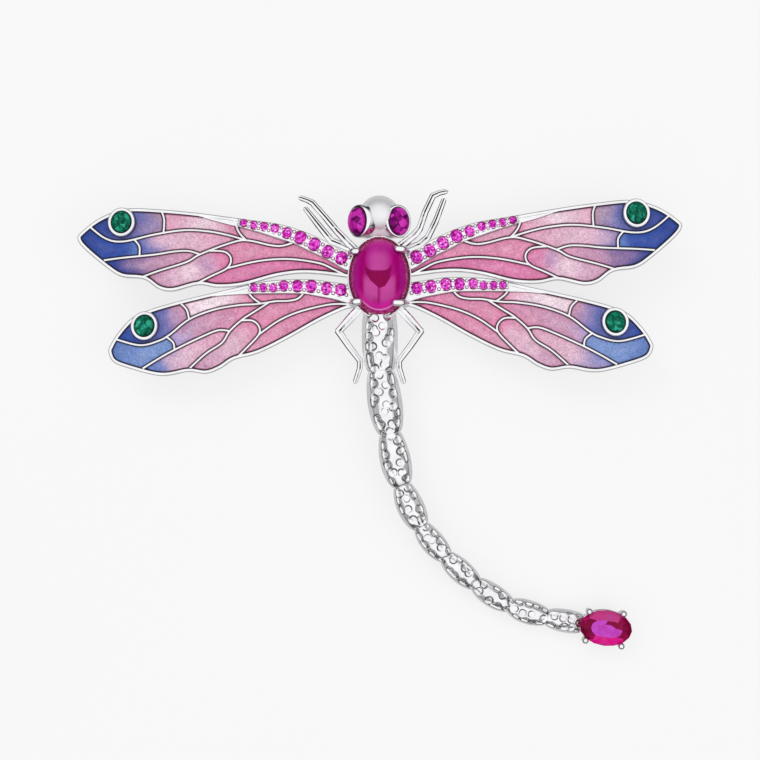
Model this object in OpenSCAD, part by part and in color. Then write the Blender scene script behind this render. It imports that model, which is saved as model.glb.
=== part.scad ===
// Dragonfly brooch: silver casting with enamelled wings, set stones and a pin on its back.
// It lies on its back, face up, with the head towards +Y. The surface it rests on is z = 0.

/* [Wings] */
// Length of a forewing, from its root near the centre line to its tip
fore_l = 34.5; // [31:0.1:39]
// Length of a hindwing, from its root near the centre line to its tip
hind_l = 31.1; // [28:0.1:35]
// Thickness of a wing at its rim
wing_t = 1.15; // [1.05:0.05:1.6]
// Depth of the enamel cells below the rim
cell_d = 0.45; // [0.3:0.05:0.6]
// Thickness of the enamel in its cells
enamel_t = 0.38; // [0.2:0.02:0.5]
// Width of the rim round a wing
rim_w = 0.5; // [0.4:0.05:0.7]
// Width of the wires between the cells
wire_w = 0.36; // [0.3:0.02:0.46]
// Rise of the wings towards their tips, in degrees
wing_rise = 3; // [0:0.5:5]
// How far the hindwings lie below the forewings
hind_drop = 0.4; // [0.2:0.05:0.6]

/* [Wing stones] */
// Width of the green oval in each wing
dot_w = 2.45; // [2.1:0.05:2.7]
// Length of the green oval in each wing
dot_l = 2.7; // [2.4:0.05:3]
// Height of the green oval's dome above its girdle
dot_h = 0.75; // [0.5:0.05:1]
// Height of a green oval's setting above the wing's rim
bezel_h = 0.85; // [0.6:0.05:1.2]
// Wall of the green ovals' settings
bezel_w = 0.3; // [0.2:0.02:0.4]
// Diameter of the widest small stone along a wing's front edge
pave_d = 1.5; // [1.3:0.05:1.6]
// Height of the strip that holds the small stones above the rim
ledge_h = 0.2; // [0.1:0.05:0.3]

/* [Thorax] */
// Width of the oval stone on the thorax
thorax_w = 6.6; // [6.2:0.1:7]
// Length of the oval stone on the thorax
thorax_l = 8.8; // [8.3:0.1:9.3]
// Height of the thorax stone's dome above its girdle
thorax_h = 3; // [2.4:0.1:3.6]
// Wall of the toothed ring that holds the thorax stone
tooth_w = 0.24; // [0.2:0.01:0.3]
// Depth of the teeth on that ring
tooth_d = 0.1; // [0.06:0.01:0.14]
// Number of teeth round the thorax stone
tooth_n = 52; // [40:4:64]
// Width of the plain step outside the toothed ring
step_w = 0.12; // [0.08:0.01:0.2]
// Thickness of the claws that hold the thorax stone
claw_t = 0.78; // [0.6:0.02:0.9]

/* [Head] */
// Diameter of the head
head_d = 4.3; // [4:0.1:4.8]
// Distance from the thorax setting to the middle of the head
head_gap = 2.6; // [2.3:0.1:2.9]
// Width of an eye stone
eye_w = 2.7; // [2.4:0.05:3]
// Length of an eye stone
eye_l = 3.4; // [3.1:0.05:3.8]
// Mean outward lean of the two eyes, in degrees
eye_lean = 31; // [24:1:36]
// Wall of the eyes' settings
eye_wall = 0.22; // [0.18:0.02:0.34]
// Depth of the eyes' settings
eye_cup_h = 1.3; // [1:0.05:1.5]

/* [Legs] */
// How far the front legs reach from the thorax setting
front_leg_l = 10; // [8.5:0.1:11.5]
// How far the back legs reach from the thorax setting
back_leg_l = 9; // [8:0.1:10]
// Thickness of the front legs below the knee
front_leg_t = 0.7; // [0.6:0.02:0.85]
// Thickness of the back legs below the knee
back_leg_t = 0.74; // [0.6:0.02:0.85]

/* [Tail] */
// Length of the tail along its curve
tail_l = 48.9; // [43:0.1:55]
// Width of the tail's widest bead
tail_w = 4.2; // [3.8:0.1:4.6]
// Height of a tail bead as a share of its width
tail_flat = 0.78; // [0.7:0.01:0.95]
// Depth of the hammered dents, as a share of a bead's half width
dent = 0.1; // [0.04:0.01:0.14]
// Width of the oval stone at the tail's end
drop_w = 4.25; // [3.8:0.05:4.6]
// Length of the oval stone at the tail's end
drop_l = 6.2; // [5.7:0.05:6.7]
// Height of the tail stone's girdle above the surface
drop_z = 2.55; // [2.4:0.05:3]
// Thickness of the wires of the tail stone's setting
drop_wire = 0.62; // [0.5:0.02:0.7]

/* [Pin] */
// Length of the pin's stem between the middles of its two posts
pin_l = 24.8; // [20:0.2:28]
// Diameter of the pin's stem
pin_d = 0.9; // [0.7:0.05:1.1]
// Height of the pin's stem above the surface
pin_z = 1.15; // [1:0.05:1.4]
// Height of the wings' backs above the surface at the centre line
back_z = 3.6; // [3.2:0.1:4.4]
// Width of the pin's posts
post_w = 2.2; // [1.8:0.1:2.6]

/* [Hidden] */

silver = "#d9dadd";
pink = "#e58fb4";
ruby = "#c0187c";
green = "#0d7a5c";
// clearance between a stone or enamel and the metal round it
seat = 0.03;
// how far one part of the casting runs into the next
bite = 0.3;

// Wing tables: out from the root and forward of it, in hundredths of the wing's length.
// Every outline runs from the root along the front edge to the tip and back.
FORE = [
    [4.2, 2.7], [9.5, 5.8], [13.8, 8.7], [18.8, 11.5], [25.5, 14.3], [32.2, 16.3], [43.8, 18.2],
    [58.8, 20.7], [72.2, 22.5], [83.5, 23.3], [92.2, 20.8], [98.6, 16.6], [100, 14.2],
    [97.5, 10.5], [89.5, 3.5], [84.5, 0.4], [77.2, -0.8], [72.2, -4.3], [67.2, -5.3],
    [58.8, -3.6], [52.2, -4.7], [43.8, -4.3], [32.2, -1.5], [22.2, -0.7], [9.5, -2.2], [4.2, -3.3]];
HIND = [
    [4.8, 1.9], [10, 3.1], [16.7, 4.1], [23, 4.9], [31.5, 4.9], [38.9, 4.4], [46.3, 3], [53.7, 1.4],
    [64.8, -1], [75.9, -3.6], [84.1, -5.9], [90.7, -8.7], [96.3, -14.3], [99.3, -18.9],
    [100, -21.5], [97.8, -25.4], [90.7, -28.1], [81.5, -30.5], [75.9, -30.6], [68.9, -29.4],
    [62.2, -30.2], [56.7, -28.3], [51.5, -25.1], [42.6, -22.8], [31.5, -17.4], [20.4, -11.1],
    [11.1, -6.7], [4.8, -4.8]];
// Wires between the cells, a row for each wire, with the same two columns.
FORE_WIRES = [
    [[71.5, 22.4], [70.3, 19], [70.5, 14.6]],
    [[42.8, 10.9], [48.8, 12.8], [55.5, 14.3], [63.8, 15], [73.8, 14], [84.2, 12.3], [90.5, 13.8],
        [97.2, 19.4]],
    [[80.4, 12.7], [78.7, 10.3], [78.7, 7]],
    [[58.2, 6.7], [62.2, 8], [67.2, 8], [73.8, 7.3], [85.5, 6.8], [94.5, 6.1]],
    [[26, 10.2], [30.5, 8.8], [34.5, 9], [42.8, 10.9], [48.8, 9.9], [58.2, 6.7], [62.8, 4.3],
        [72.2, 1.8], [78.6, -0.2]],
    [[46.8, 18], [45.2, 13.7], [42.8, 10.9]],
    [[55, 7.8], [49.8, 7.2], [47.8, 4.7], [49.2, 1.7], [54.8, -0.9], [61.8, -4.2]],
    [[4.5, -3.2], [9.5, -1.5], [13.8, 0.6], [18.8, 2.8], [28.8, 4.3], [38.8, 3.8], [49.2, 1.7]]];
HIND_WIRES = [
    [[73.6, -2.6], [69.8, -5.9], [68.7, -9.8]],
    [[25, 0.6], [27.8, -2.3], [31.5, -3.2], [35.9, -3.3], [40, -3.9], [44, -4.4], [50, -4.7],
        [59.3, -6.3], [68.7, -9.8], [75.9, -15.2], [80.4, -17.6], [87.8, -19.1], [98.2, -16.3]],
    [[77.6, -16], [74.8, -18.3], [74.3, -21.1]],
    [[53.3, -14.3], [57.8, -14], [64.8, -16.7], [74.4, -21.1], [80.7, -24.4], [88.6, -29]],
    [[38.4, -3.55], [40.6, -5], [44.1, -7.2], [48.5, -10], [53.3, -14.3], [56.3, -18.7],
        [62.6, -22.8], [70.2, -29.6]],
    [[47.4, 1.6], [45, -1.7], [41.9, -4]],
    [[48.9, -10.4], [44.8, -10.5], [42.4, -12.6], [42.4, -15.7], [47, -20.7], [52.2, -25.7]],
    [[6.3, -4.8], [13, -4.4], [18.5, -5], [27.8, -7.4], [35.2, -10.7], [42.4, -15.7]]];
// Lower edge of the strip that holds the small stones, with the same two columns.
FORE_LEDGE = [[2, -1.2], [9.5, 0.2], [13.8, 2.7], [18, 5], [22.2, 7], [26.5, 9.2], [32.2, 11.2],
    [38.8, 13.5], [46.8, 15.9], [50.8, 17], [55.5, 18.5], [60, 20]];
HIND_LEDGE = [[4.8, -5.6], [10, -4.1], [14.8, -2.7], [20.4, -1.6], [25.9, -0.7], [35.2, -0.5], [47, -0.6],
    [53.7, -0.8], [60, -1.4]];
// Small stones: the same two columns, then the diameter as a share of the widest.
FORE_PAVE = [
    [11.3, 4.3, 1], [15.8, 6.5, 1], [20.2, 9, 1], [24.8, 11.3, 1], [29.2, 12.9, 0.85],
    [33.2, 14.4, 0.74], [36.8, 15.2, 0.66], [40.2, 15.8, 0.62], [43.5, 16.6, 0.55]];
HIND_PAVE = [
    [12.2, 0.6, 0.98], [17.4, 1.3, 0.96], [23, 2.1, 0.96], [28.1, 2.2, 0.9],
    [33.1, 2.3, 0.8], [37, 1.7, 0.66], [40.7, 1.7, 0.64], [44.1, 1.7, 0.6]];
// Middle of the green oval, with the same two columns.
FORE_DOT = [84.6, 18.6];
HIND_DOT = [85.7, -12];
// lean of the green ovals, in degrees
dot_lean = 15;

// Places of the wing roots beside the thorax stone's middle, as shares of its width and length.
FORE_ROOT = [0.07, 0.096];
HIND_ROOT = [0.097, -0.167];
// How the left wings differ from the right ones' mirror image, in hundredths of the length:
// lowered by, swept back at the tip by, drawn out near the root by and drawn in at the tip by.
FORE_LEFT = [0.3, 3.8, 3.6, 3.8];
HIND_LEFT = [0.7, 1.1, 4, 5];

// Tail beads: heading in degrees from straight back, length as a share of the tail's,
// width and width of the neck after it as shares of the widest bead.
TAIL = [
    [1.6, 0.141, 1, 0.62],
    [8.2, 0.1505, 0.96, 0.56],
    [13, 0.1275, 0.86, 0.46],
    [24.8, 0.1085, 0.76, 0.42],
    [39.2, 0.095, 0.67, 0.4],
    [47.8, 0.0975, 0.66, 0.4],
    [57.3, 0.098, 0.66, 0.38],
    [71.6, 0.0945, 0.68, 0.42],
    [78.9, 0.087, 0.66, 0.5]];
// how far the tail runs in under the thorax setting
tail_in = 0.8;
// rings along each bead and sides round it
bead_rings = 9;
tail_sides = 20;

// Legs: out, forward and up from a point by the setting, as shares of the leg's reach,
// then the thickness as a share of the leg's.
FRONT_RIGHT = [
    [[-0.1, -0.12, 0, 1.2], [0.06, 0, 0.02, 1.25], [0.16, 0.08, 0.03, 1.2], [0.225, 0.16, 0.03, 1.05],
        [0.29, 0.35, 0.04, 1], [0.38, 0.54, 0.02, 0.95], [0.455, 0.575, 0.01, 0.85],
        [0.53, 0.6, -0.01, 0.8]],
    [[-0.02, -0.12, -0.03, 1.2], [0.1, -0.075, -0.03, 1.25], [0.23, -0.02, -0.03, 1.15],
        [0.32, 0.06, -0.03, 1], [0.415, 0.25, -0.03, 0.95], [0.505, 0.49, -0.04, 0.8]]];
FRONT_LEFT = [
    [[-0.06, -0.16, 0, 1.2], [0.05, -0.08, 0.01, 1.25], [0.25, 0.125, 0.02, 1.1],
        [0.39, 0.29, 0.03, 1], [0.54, 0.46, 0.03, 0.95], [0.6, 0.49, 0.02, 0.85],
        [0.67, 0.515, 0.01, 0.8]],
    [[0, -0.12, -0.03, 1.2], [0.16, -0.048, -0.03, 1.2], [0.32, 0.02, -0.03, 1.1],
        [0.47, 0.205, -0.03, 1], [0.615, 0.39, -0.04, 0.8]]];
BACK = [[-0.07, 0.16, 0.02, 1.3], [0.13, -0.05, 0.03, 1.35], [0.285, -0.22, 0.02, 1.1],
    [0.155, -0.41, -0.02, 1], [0.01, -0.6, -0.08, 0.9], [0.015, -0.7, -0.09, 0.85],
    [0.07, -0.87, -0.12, 0.75]];
// that point, as degrees round the thorax setting from straight ahead, and how far outside it
front_leg_at = 37;
back_leg_at = 147;
leg_out = 0.3;

// heights, from the back upwards
fore_z = back_z;
hind_z = back_z - hind_drop;
cup_z = back_z - 0.5;
girdle_z = fore_z + wing_t + 0.55;
thorax_z = girdle_z - 0.75;
leg_z = fore_z + wing_t + 0.1;
tail_z = back_z + 0.75;
tail_end_z = 0.5 * drop_z;
head_z = back_z + 0.22 * head_d;
eye_z = back_z + 0.5 * head_d;

// sizes of the thorax setting; the cells keep clear of it by cup_clear
cup_clear = 0.1;
cup_a = thorax_w / 2 + seat + tooth_w + step_w;
cup_b = thorax_l / 2 + seat + tooth_w + step_w;
head_y = cup_b + head_gap;
leg_hook = [sin(front_leg_at) * (cup_a + leg_out), cos(front_leg_at) * (cup_b + leg_out)];
back_hook = [sin(back_leg_at) * (cup_a + leg_out), cos(back_leg_at) * (cup_b + leg_out)];

// Vector and curve functions
function unit(v) = v / norm(v);
function bend(a, b, c, d, t) =
    0.5 * (2 * b + (c - a) * t + (2 * a - 5 * b + 4 * c - d) * t * t + (3 * b - a - 3 * c + d) * t * t * t);
function smooth_loop(p, n) = let (m = len(p))
    [for (i = [0 : m - 1], k = [0 : n - 1])
        bend(p[(i + m - 1) % m], p[i], p[(i + 1) % m], p[(i + 2) % m], k / n)];
function smooth_path(p, n) = let (m = len(p))
    concat([for (i = [0 : m - 2], k = [0 : n - 1])
        bend(p[max(i - 1, 0)], p[i], p[i + 1], p[min(i + 2, m - 1)], k / n)], [p[m - 1]]);
function heading(p, i) = unit(p[min(i + 1, len(p) - 1)] - p[max(i - 1, 0)]);
function aside(p, i, d) = let (t = heading(p, i)) p[i] + d * [-t.y, t.x];
// outline of a band of width w along a path
function band(p, w) = concat([for (i = [0 : len(p) - 1]) aside(p, i, w / 2)],
    [for (i = [len(p) - 1 : -1 : 0]) aside(p, i, -w / 2)]);
// a clockwise closed outline moved inwards by d
function inset(p, d) = let (m = len(p))
    [for (i = [0 : m - 1]) let (t = unit(p[(i + 1) % m] - p[(i + m - 1) % m])) p[i] + d * [t.y, -t.x]];
function oval(a, b, n) = [for (i = [0 : n - 1]) [a * cos(360 * i / n), b * sin(360 * i / n)]];
function toothed(a, b, n, d) = [for (i = [0 : 2 * n - 1]) let (s = i % 2 == 0 ? 0 : d)
    [(a - s) * cos(180 * i / n), (b - s) * sin(180 * i / n)]];

// Closed solid swept along a path of points. half holds the half width and half height at each point,
// ref is a direction that the path never takes, and dents[i][j], if given, scales each corner.
module swept(path, half, sides, ref = [0, 0, 1], dents = []) {
    m = len(path);
    points = [for (i = [0 : m - 1])
        let (t = heading(path, i), s = unit(cross(t, ref)), u = cross(s, t))
        for (j = [0 : sides - 1])
            let (k = len(dents) == 0 ? 1 : dents[i][j])
            path[i] + k * (half[i][0] * cos(360 * j / sides) * s + half[i][1] * sin(360 * j / sides) * u)];
    walls = [for (i = [0 : m - 2], j = [0 : sides - 1])
        [i * sides + j, i * sides + (j + 1) % sides, (i + 1) * sides + (j + 1) % sides,
            (i + 1) * sides + j]];
    ends = [[for (j = [sides - 1 : -1 : 0]) j], [for (j = [0 : sides - 1]) (m - 1) * sides + j]];
    polyhedron(points, concat(walls, ends), convexity = 10);
}

// Rod along a path with rounded ends; t holds its thickness at each point
module rod(path, t, sides = 8, ref = [0, 0, 1]) {
    m = len(path);
    first = path[0] - heading(path, 0) * t[0] * 0.25;
    last = path[m - 1] + heading(path, m - 1) * t[m - 1] * 0.25;
    swept(concat([first], path, [last]),
        concat([[t[0], t[0]] * 0.3], [for (w = t) [w, w] / 2], [[t[m - 1], t[m - 1]] * 0.3]), sides, ref);
}

// Oval domed stone with its flat back at z = 0: w and l across, edge up to the girdle, h for the dome
module cabochon(w, l, edge, h, sides = 28, steps = 6) {
    rows = [for (i = [0 : steps]) let (a = 84 * i / steps) [edge + h * sin(a), cos(a)]];
    path = concat([[0, 0, 0]], [for (r = rows) [0, 0, r[0]]]);
    half = concat([[w / 2 * 0.97, l / 2 * 0.97]], [for (r = rows) [w / 2 * r[1], l / 2 * r[1]]]);
    swept(path, half, sides, [0, 1, 0]);
}

// Faceted stone with its girdle at z = 0: columns are height and width as shares of the stone's width
ROUND_CUT = [[-0.4, 0.1], [-0.04, 0.97], [0, 1], [0.03, 1], [0.17, 0.58]];
OVAL_CUT = [[-0.43, 0.12], [-0.24, 0.56], [-0.03, 0.98], [0, 1], [0.02, 1], [0.11, 0.84], [0.19, 0.58]];
module cut_stone(w, l, rows, sides) {
    swept([for (r = rows) [0, 0, r[0] * w]], [for (r = rows) r[1] / 2 * [w, l]], sides, [0, 1, 0]);
}

// Wing data by pair, "fore" or "hind", and side, 1 for the right and -1 for the left
function wing_len(pair) = pair == "fore" ? fore_l : hind_l;
function wing_z(pair) = pair == "fore" ? fore_z : hind_z;
function wing_root(pair) = let (r = pair == "fore" ? FORE_ROOT : HIND_ROOT)
    [r.x * thorax_w, r.y * thorax_l];
function left_change(q, k) = [q.x * (1 + (k[2] - k[3] * q.x / 100) / 100),
    q.y - k[0] - k[1] * pow(q.x / 100, 2)];
function on(q, pair, side) =
    (side > 0 ? [q.x, q.y] : left_change(q, pair == "fore" ? FORE_LEFT : HIND_LEFT)) * wing_len(pair) / 100;
function sized(p, pair, side) = [for (q = p) on(q, pair, side)];
function outline(pair, side) = smooth_loop(sized(pair == "fore" ? FORE : HIND, pair, side), 3);
function wires(pair) = pair == "fore" ? FORE_WIRES : HIND_WIRES;
function ledge_edge(pair, side) =
    smooth_path(sized(pair == "fore" ? FORE_LEDGE : HIND_LEDGE, pair, side), 2);
function pave(pair) = pair == "fore" ? FORE_PAVE : HIND_PAVE;
function dot_place(pair, side) = on(pair == "fore" ? FORE_DOT : HIND_DOT, pair, side);

// Puts what is drawn flat, root at the origin, where that wing lies
module on_wing(pair, side) {
    root = wing_root(pair);
    mirror([side > 0 ? 0 : 1, 0, 0])
        translate([root.x, root.y, wing_z(pair)])
            rotate([0, -wing_rise, 0])
                children();
}

module dot_shape(pair, side, grow) {
    translate(dot_place(pair, side)) rotate(dot_lean) polygon(oval(dot_w / 2 + grow, dot_l / 2 + grow, 32));
}

// strip of metal under the small stones, closed off in front of the wing
module ledge_shape(pair, side, grow = 0) {
    edge = ledge_edge(pair, side);
    last = edge[len(edge) - 1];
    span = wing_len(pair);
    polygon(concat([for (p = edge) p - [0, grow]], [[last.x + 0.02 * span + grow, 0.3 * span],
        [0, 0.3 * span]]));
}

// the cells that take the enamel, each side pulled in by grow
module cell_shape(pair, side, grow = 0) {
    difference() {
        polygon(inset(outline(pair, side), rim_w + grow));
        ledge_shape(pair, side, grow);
        for (w = wires(pair)) polygon(band(smooth_path(sized(w, pair, side), 3), wire_w + 2 * grow));
        dot_shape(pair, side, seat + bezel_w + grow);
        translate(-wing_root(pair)) polygon(oval(cup_a + cup_clear + grow, cup_b + cup_clear + grow, 64));
    }
}

// The raised strip stays ledge_in inside the wing's outline and ends just past the last small stone,
// by this share of the stone's diameter.
ledge_in = 0.08;
ledge_past = 0.75;
// depth of a small stone's hole as a share of its diameter, and how far its girdle stands above the strip
pave_deep = 0.42;
pave_up = 0.02;
function ledge_end(pair, side) = let (p = pave(pair), last = p[len(p) - 1])
    on(last, pair, side).x + ledge_past * last[2] * pave_d;
module wing_plate(pair, side) {
    linear_extrude(wing_t) polygon(outline(pair, side));
    translate([0, 0, wing_t - bite]) linear_extrude(ledge_h + bite) intersection() {
        polygon(inset(outline(pair, side), ledge_in));
        ledge_shape(pair, side);
        translate([0, -wing_len(pair) / 2]) square([ledge_end(pair, side), wing_len(pair)]);
    }
    translate([0, 0, wing_t - bite]) linear_extrude(bezel_h + bite)
        dot_shape(pair, side, seat + bezel_w);
}
module wing_frame(pair, side) {
    difference() {
        on_wing(pair, side) difference() {
            wing_plate(pair, side);
            translate([0, 0, wing_t - cell_d]) linear_extrude(2 * cell_d) cell_shape(pair, side);
            translate([0, 0, wing_t]) linear_extrude(2 * bezel_h) dot_shape(pair, side, seat);
            for (p = pave(pair)) let (c = on(p, pair, side), d = p[2] * pave_d, deep = pave_deep * d + seat)
                translate([c.x, c.y, wing_t + ledge_h - deep])
                    cylinder(d = d + 2 * seat, h = 2 * deep, $fn = 24);
        }
        thorax_seat();
    }
}

module enamel(pair, side) {
    color(pink) on_wing(pair, side)
        translate([0, 0, wing_t - cell_d + seat]) linear_extrude(enamel_t) cell_shape(pair, side, seat);
}

module pave_row(pair, side) {
    color(ruby) on_wing(pair, side) for (p = pave(pair)) let (c = on(p, pair, side))
        translate([c.x, c.y, wing_t + ledge_h + pave_up])
            cut_stone(p[2] * pave_d, p[2] * pave_d, ROUND_CUT, 8);
}

module wing_stone(pair, side) {
    place = dot_place(pair, side);
    color(green) on_wing(pair, side)
        translate([place.x, place.y, wing_t + seat]) rotate(dot_lean)
            cabochon(dot_w, dot_l, bezel_h - 0.15, dot_h);
}

// Space that the thorax stone takes up
module thorax_seat() {
    translate([0, 0, thorax_z]) linear_extrude(2 * thorax_h)
        polygon(oval(thorax_w / 2 + seat, thorax_l / 2 + seat, 64));
}

// Oval setting under and round the thorax stone, with the legs and the tail that start at it.
// The smooth cup ends cup_drop below the girdle and the teeth stand tooth_up above it.
cup_drop = 0.25;
tooth_up = 0.12;
module thorax_setting() {
    ring_a = thorax_w / 2 + seat + tooth_w;
    ring_b = thorax_l / 2 + seat + tooth_w;
    difference() {
        union() {
            translate([0, 0, cup_z]) linear_extrude(girdle_z - cup_drop - cup_z)
                polygon(oval(cup_a, cup_b, 64));
            translate([0, 0, thorax_z]) linear_extrude(girdle_z + tooth_up - thorax_z)
                polygon(toothed(ring_a, ring_b, tooth_n, tooth_d));
            legs();
            tail();
        }
        thorax_seat();
    }
}

// Claws: places of their tips and of their feet, as shares of the setting's half width and half length,
// the place of the knee between them and how far the knee lies below the tip. A tip's middle stands
// claw_over above the dome's height claw_in further inside, both as shares of the claw's thickness.
CLAWS = [[[0.56, 0.66], [0.83, 0.64]], [[-0.71, 0.61], [-0.88, 0.6]], [[-0.65, -0.6], [-0.86, -0.62]],
    [[0.49, -0.635], [0.83, -0.64]]];
claw_knee = 0.7;
claw_sink = 0.15;
claw_in = 0.42;
claw_over = 0.42;
module claws() {
    for (c = CLAWS) {
        tip = [c[0].x * cup_a, c[0].y * cup_b];
        foot = [c[1].x * cup_a, c[1].y * cup_b];
        out = unit(foot - tip);
        // height of the dome under the tip's inner end, from the oval's own curve
        under = tip - out * (claw_t * claw_in);
        reach = norm([2 * under.x / thorax_w, 2 * under.y / thorax_l]);
        over = girdle_z + thorax_h * sqrt(max(0, 1 - reach * reach)) + claw_t * claw_over;
        knee = tip + out * (norm(foot - tip) * claw_knee);
        rod([[foot.x, foot.y, fore_z + wing_t], [foot.x, foot.y, girdle_z + tooth_up],
            [knee.x, knee.y, over - claw_sink], [tip.x, tip.y, over]],
            claw_t * [1, 1, 0.95, 0.85], 8, [out.y, -out.x, 0]);
    }
}

// Eyes, right then left: how far out each is as a share of the head's diameter and how much
// more or less than the mean it leans, in degrees.
EYES = [[0.52, -8], [-0.62, 8]];
// how far behind the head's middle the eyes are, as a share of its diameter, and their turn in degrees
eye_back = 0.22;
eye_turn = 8;
// backward tip of both eyes in degrees
eye_tip = 3;
// depth of the seat of an eye stone and height of its dome
eye_step = 0.55;
eye_dome = 0.85;
// Puts an oval that is drawn upright, with the rim of its setting at z = eye_step, where an eye is
module on_eye(side) {
    eye = EYES[side > 0 ? 0 : 1];
    translate([eye[0] * head_d, head_y - eye_back * head_d, eye_z])
        rotate([eye_tip, side * (eye_lean + eye[1]), 0])
            rotate(side * eye_turn)
                translate([0, 0, -eye_step])
                    children();
}
module eye_hole(side) {
    on_eye(side) linear_extrude(2 * eye_step) polygon(oval(eye_w / 2 + seat, eye_l / 2 + seat, 36));
}
module eye_setting(side) {
    on_eye(side) translate([0, 0, eye_step - eye_cup_h]) linear_extrude(eye_cup_h)
        polygon(oval(eye_w / 2 + seat + eye_wall, eye_l / 2 + seat + eye_wall, 36));
}
module eye_stone(side) {
    color(ruby) on_eye(side) translate([0, 0, seat]) cabochon(eye_w, eye_l, eye_step - 0.1, eye_dome);
}
// thickness of the neck as a share of the head's diameter, and how far it lies below the head's middle
neck_thick = 0.7;
neck_drop = 0.3;
module head() {
    turns = [for (a = [-84 : 12 : 84]) a];
    translate([0, head_y, head_z])
        swept([for (a = turns) [0, 0, head_d / 2 * sin(a)]],
            [for (a = turns) head_d / 2 * cos(a) * [1, 1]], 28, [0, 1, 0]);
    translate([0, head_y, head_z - neck_drop]) rotate([90, 0, 0])
        cylinder(d = neck_thick * head_d, h = head_gap + bite, $fn = 32);
}
module head_with_eyes() {
    difference() {
        union() {
            head();
            for (side = [-1, 1]) eye_setting(side);
        }
        for (side = [-1, 1]) eye_hole(side);
    }
}

function leg_path(rows, hook, side, reach) = smooth_path(
    [for (r = rows) [side * (hook.x + r.x * reach), hook.y + r.y * reach, leg_z + r.z * reach]], 3);
function leg_t(rows, t) = smooth_path([for (r = rows) r[3] * t], 3);
front_paths = concat([for (r = FRONT_RIGHT) leg_path(r, leg_hook, 1, front_leg_l)],
    [for (r = FRONT_LEFT) leg_path(r, leg_hook, -1, front_leg_l)]);
front_rows = concat(FRONT_RIGHT, FRONT_LEFT);
module legs() {
    for (i = [0 : 3]) rod(front_paths[i], leg_t(front_rows[i], front_leg_t));
    for (side = [-1, 1]) rod(leg_path(BACK, back_hook, side, back_leg_l), leg_t(BACK, back_leg_t));
}

// Tail: the necks between the beads, then a smooth path through them that sinks to the stone's setting
function run(i) = i < 0 ? 0 : TAIL[i][1] + run(i - 1);
function neck_xy(i) = i < 0 ? [0, -cup_b + tail_in]
    : neck_xy(i - 1) + tail_l * TAIL[i][1] * [sin(TAIL[i][0]), -cos(TAIL[i][0])];
function neck(i) = let (p = neck_xy(i)) [p.x, p.y, tail_z + (tail_end_z - tail_z) * (1 - cos(90 * run(i)))];
tail_path = smooth_path([for (i = [-1 : len(TAIL) - 1]) neck(i)], bead_rings);
tail_end = neck_xy(len(TAIL) - 1);
// width of the tail at ring i, as a share of the widest bead
function neck_share(b) = b < 0 ? 0.86 : TAIL[b][3];
function ring_share(i) = let (b = min(floor(i / bead_rings), len(TAIL) - 1), t = i / bead_rings - b,
    low = neck_share(b - 1) * (1 - t) + neck_share(b) * t)
    low + (TAIL[b][2] - low) * pow(max(0, sin(180 * t)), 0.6);
// three staggered rows of dents on each bead
function dented(i, j) = let (row = floor((i % bead_rings) / 3), c = (j + 2 * (row % 2)) % 4)
    (i % bead_rings) % 3 == 1 ? 1 - dent * (c == 0 ? 1 : c == 2 ? 0 : 0.5) : 1;
module tail() {
    m = len(tail_path);
    swept(tail_path, [for (i = [0 : m - 1]) tail_w / 2 * ring_share(i) * [1, tail_flat]], tail_sides,
        dents = [for (i = [0 : m - 1]) [for (j = [0 : tail_sides - 1]) dented(i, j)]]);
}

// Setting of the tail stone: two oval rings and four wires with round tips.
// The last bead ends this far under the stone's edge.
drop_lap = 0.4;
drop_turn = -7;
drop_at = tail_end + (drop_l / 2 - drop_lap) * [cos(drop_turn), sin(drop_turn)];
// places of the four wires, as degrees round the stone
DROP_WIRES = [54, 130, 228, 311];
// rings of the setting: size as a share of the stone's, height of the underside and height of the ring
drop_foot = [0.7, 0, 0.55];
drop_seat = [0.97, drop_z - 2 * drop_wire, 0.5];
drop_ring_w = 0.5;
// reach of the wires' middles beyond the stone's edge and of their feet as a share of the stone's half size
drop_reach = drop_wire / 2 + seat;
drop_foot_at = 0.62;
// diameter of a tip as a share of the wire's, and its height above the stone's girdle
drop_tip = 1.2;
drop_tip_z = 0.42;
// how far below the girdle the wires turn upright
drop_knee = 0.7;
module on_drop() {
    translate([drop_at.x, drop_at.y, 0]) rotate(drop_turn) children();
}
module drop_ring(ring) {
    a = ring[0] * drop_l / 2;
    b = ring[0] * drop_w / 2;
    translate([0, 0, ring[1]]) linear_extrude(ring[2]) difference() {
        polygon(oval(a, b, 40));
        polygon(oval(a - drop_ring_w, b - drop_ring_w, 40));
    }
}
module drop_setting() {
    on_drop() {
        drop_ring(drop_foot);
        drop_ring(drop_seat);
        for (a = DROP_WIRES) {
            top = [(drop_l / 2 + drop_reach) * cos(a), (drop_w / 2 + drop_reach) * sin(a)];
            foot = drop_foot_at * [drop_l / 2 * cos(a), drop_w / 2 * sin(a)];
            rod([[foot.x, foot.y, 0.5 * drop_wire], [top.x, top.y, drop_z - drop_knee],
                [top.x, top.y, drop_z + drop_tip_z - seat]],
                drop_wire * [1, 1, 1], 8, [0, 1, 0]);
            translate([top.x, top.y, drop_z + drop_tip_z]) sphere(d = drop_wire * drop_tip, $fn = 24);
        }
    }
}
module tail_stone() {
    color(ruby) on_drop() translate([0, 0, drop_z]) rotate(90)
        cut_stone(drop_w - 2 * seat, drop_l - 2 * seat, OVAL_CUT, 16);
}

// The whole casting: what is cast and soldered is one solid
module casting() {
    color(silver) {
        for (pair = ["fore", "hind"], side = [-1, 1]) wing_frame(pair, side);
        thorax_setting();
        head_with_eyes();
        claws();
        drop_setting();
    }
}

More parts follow.
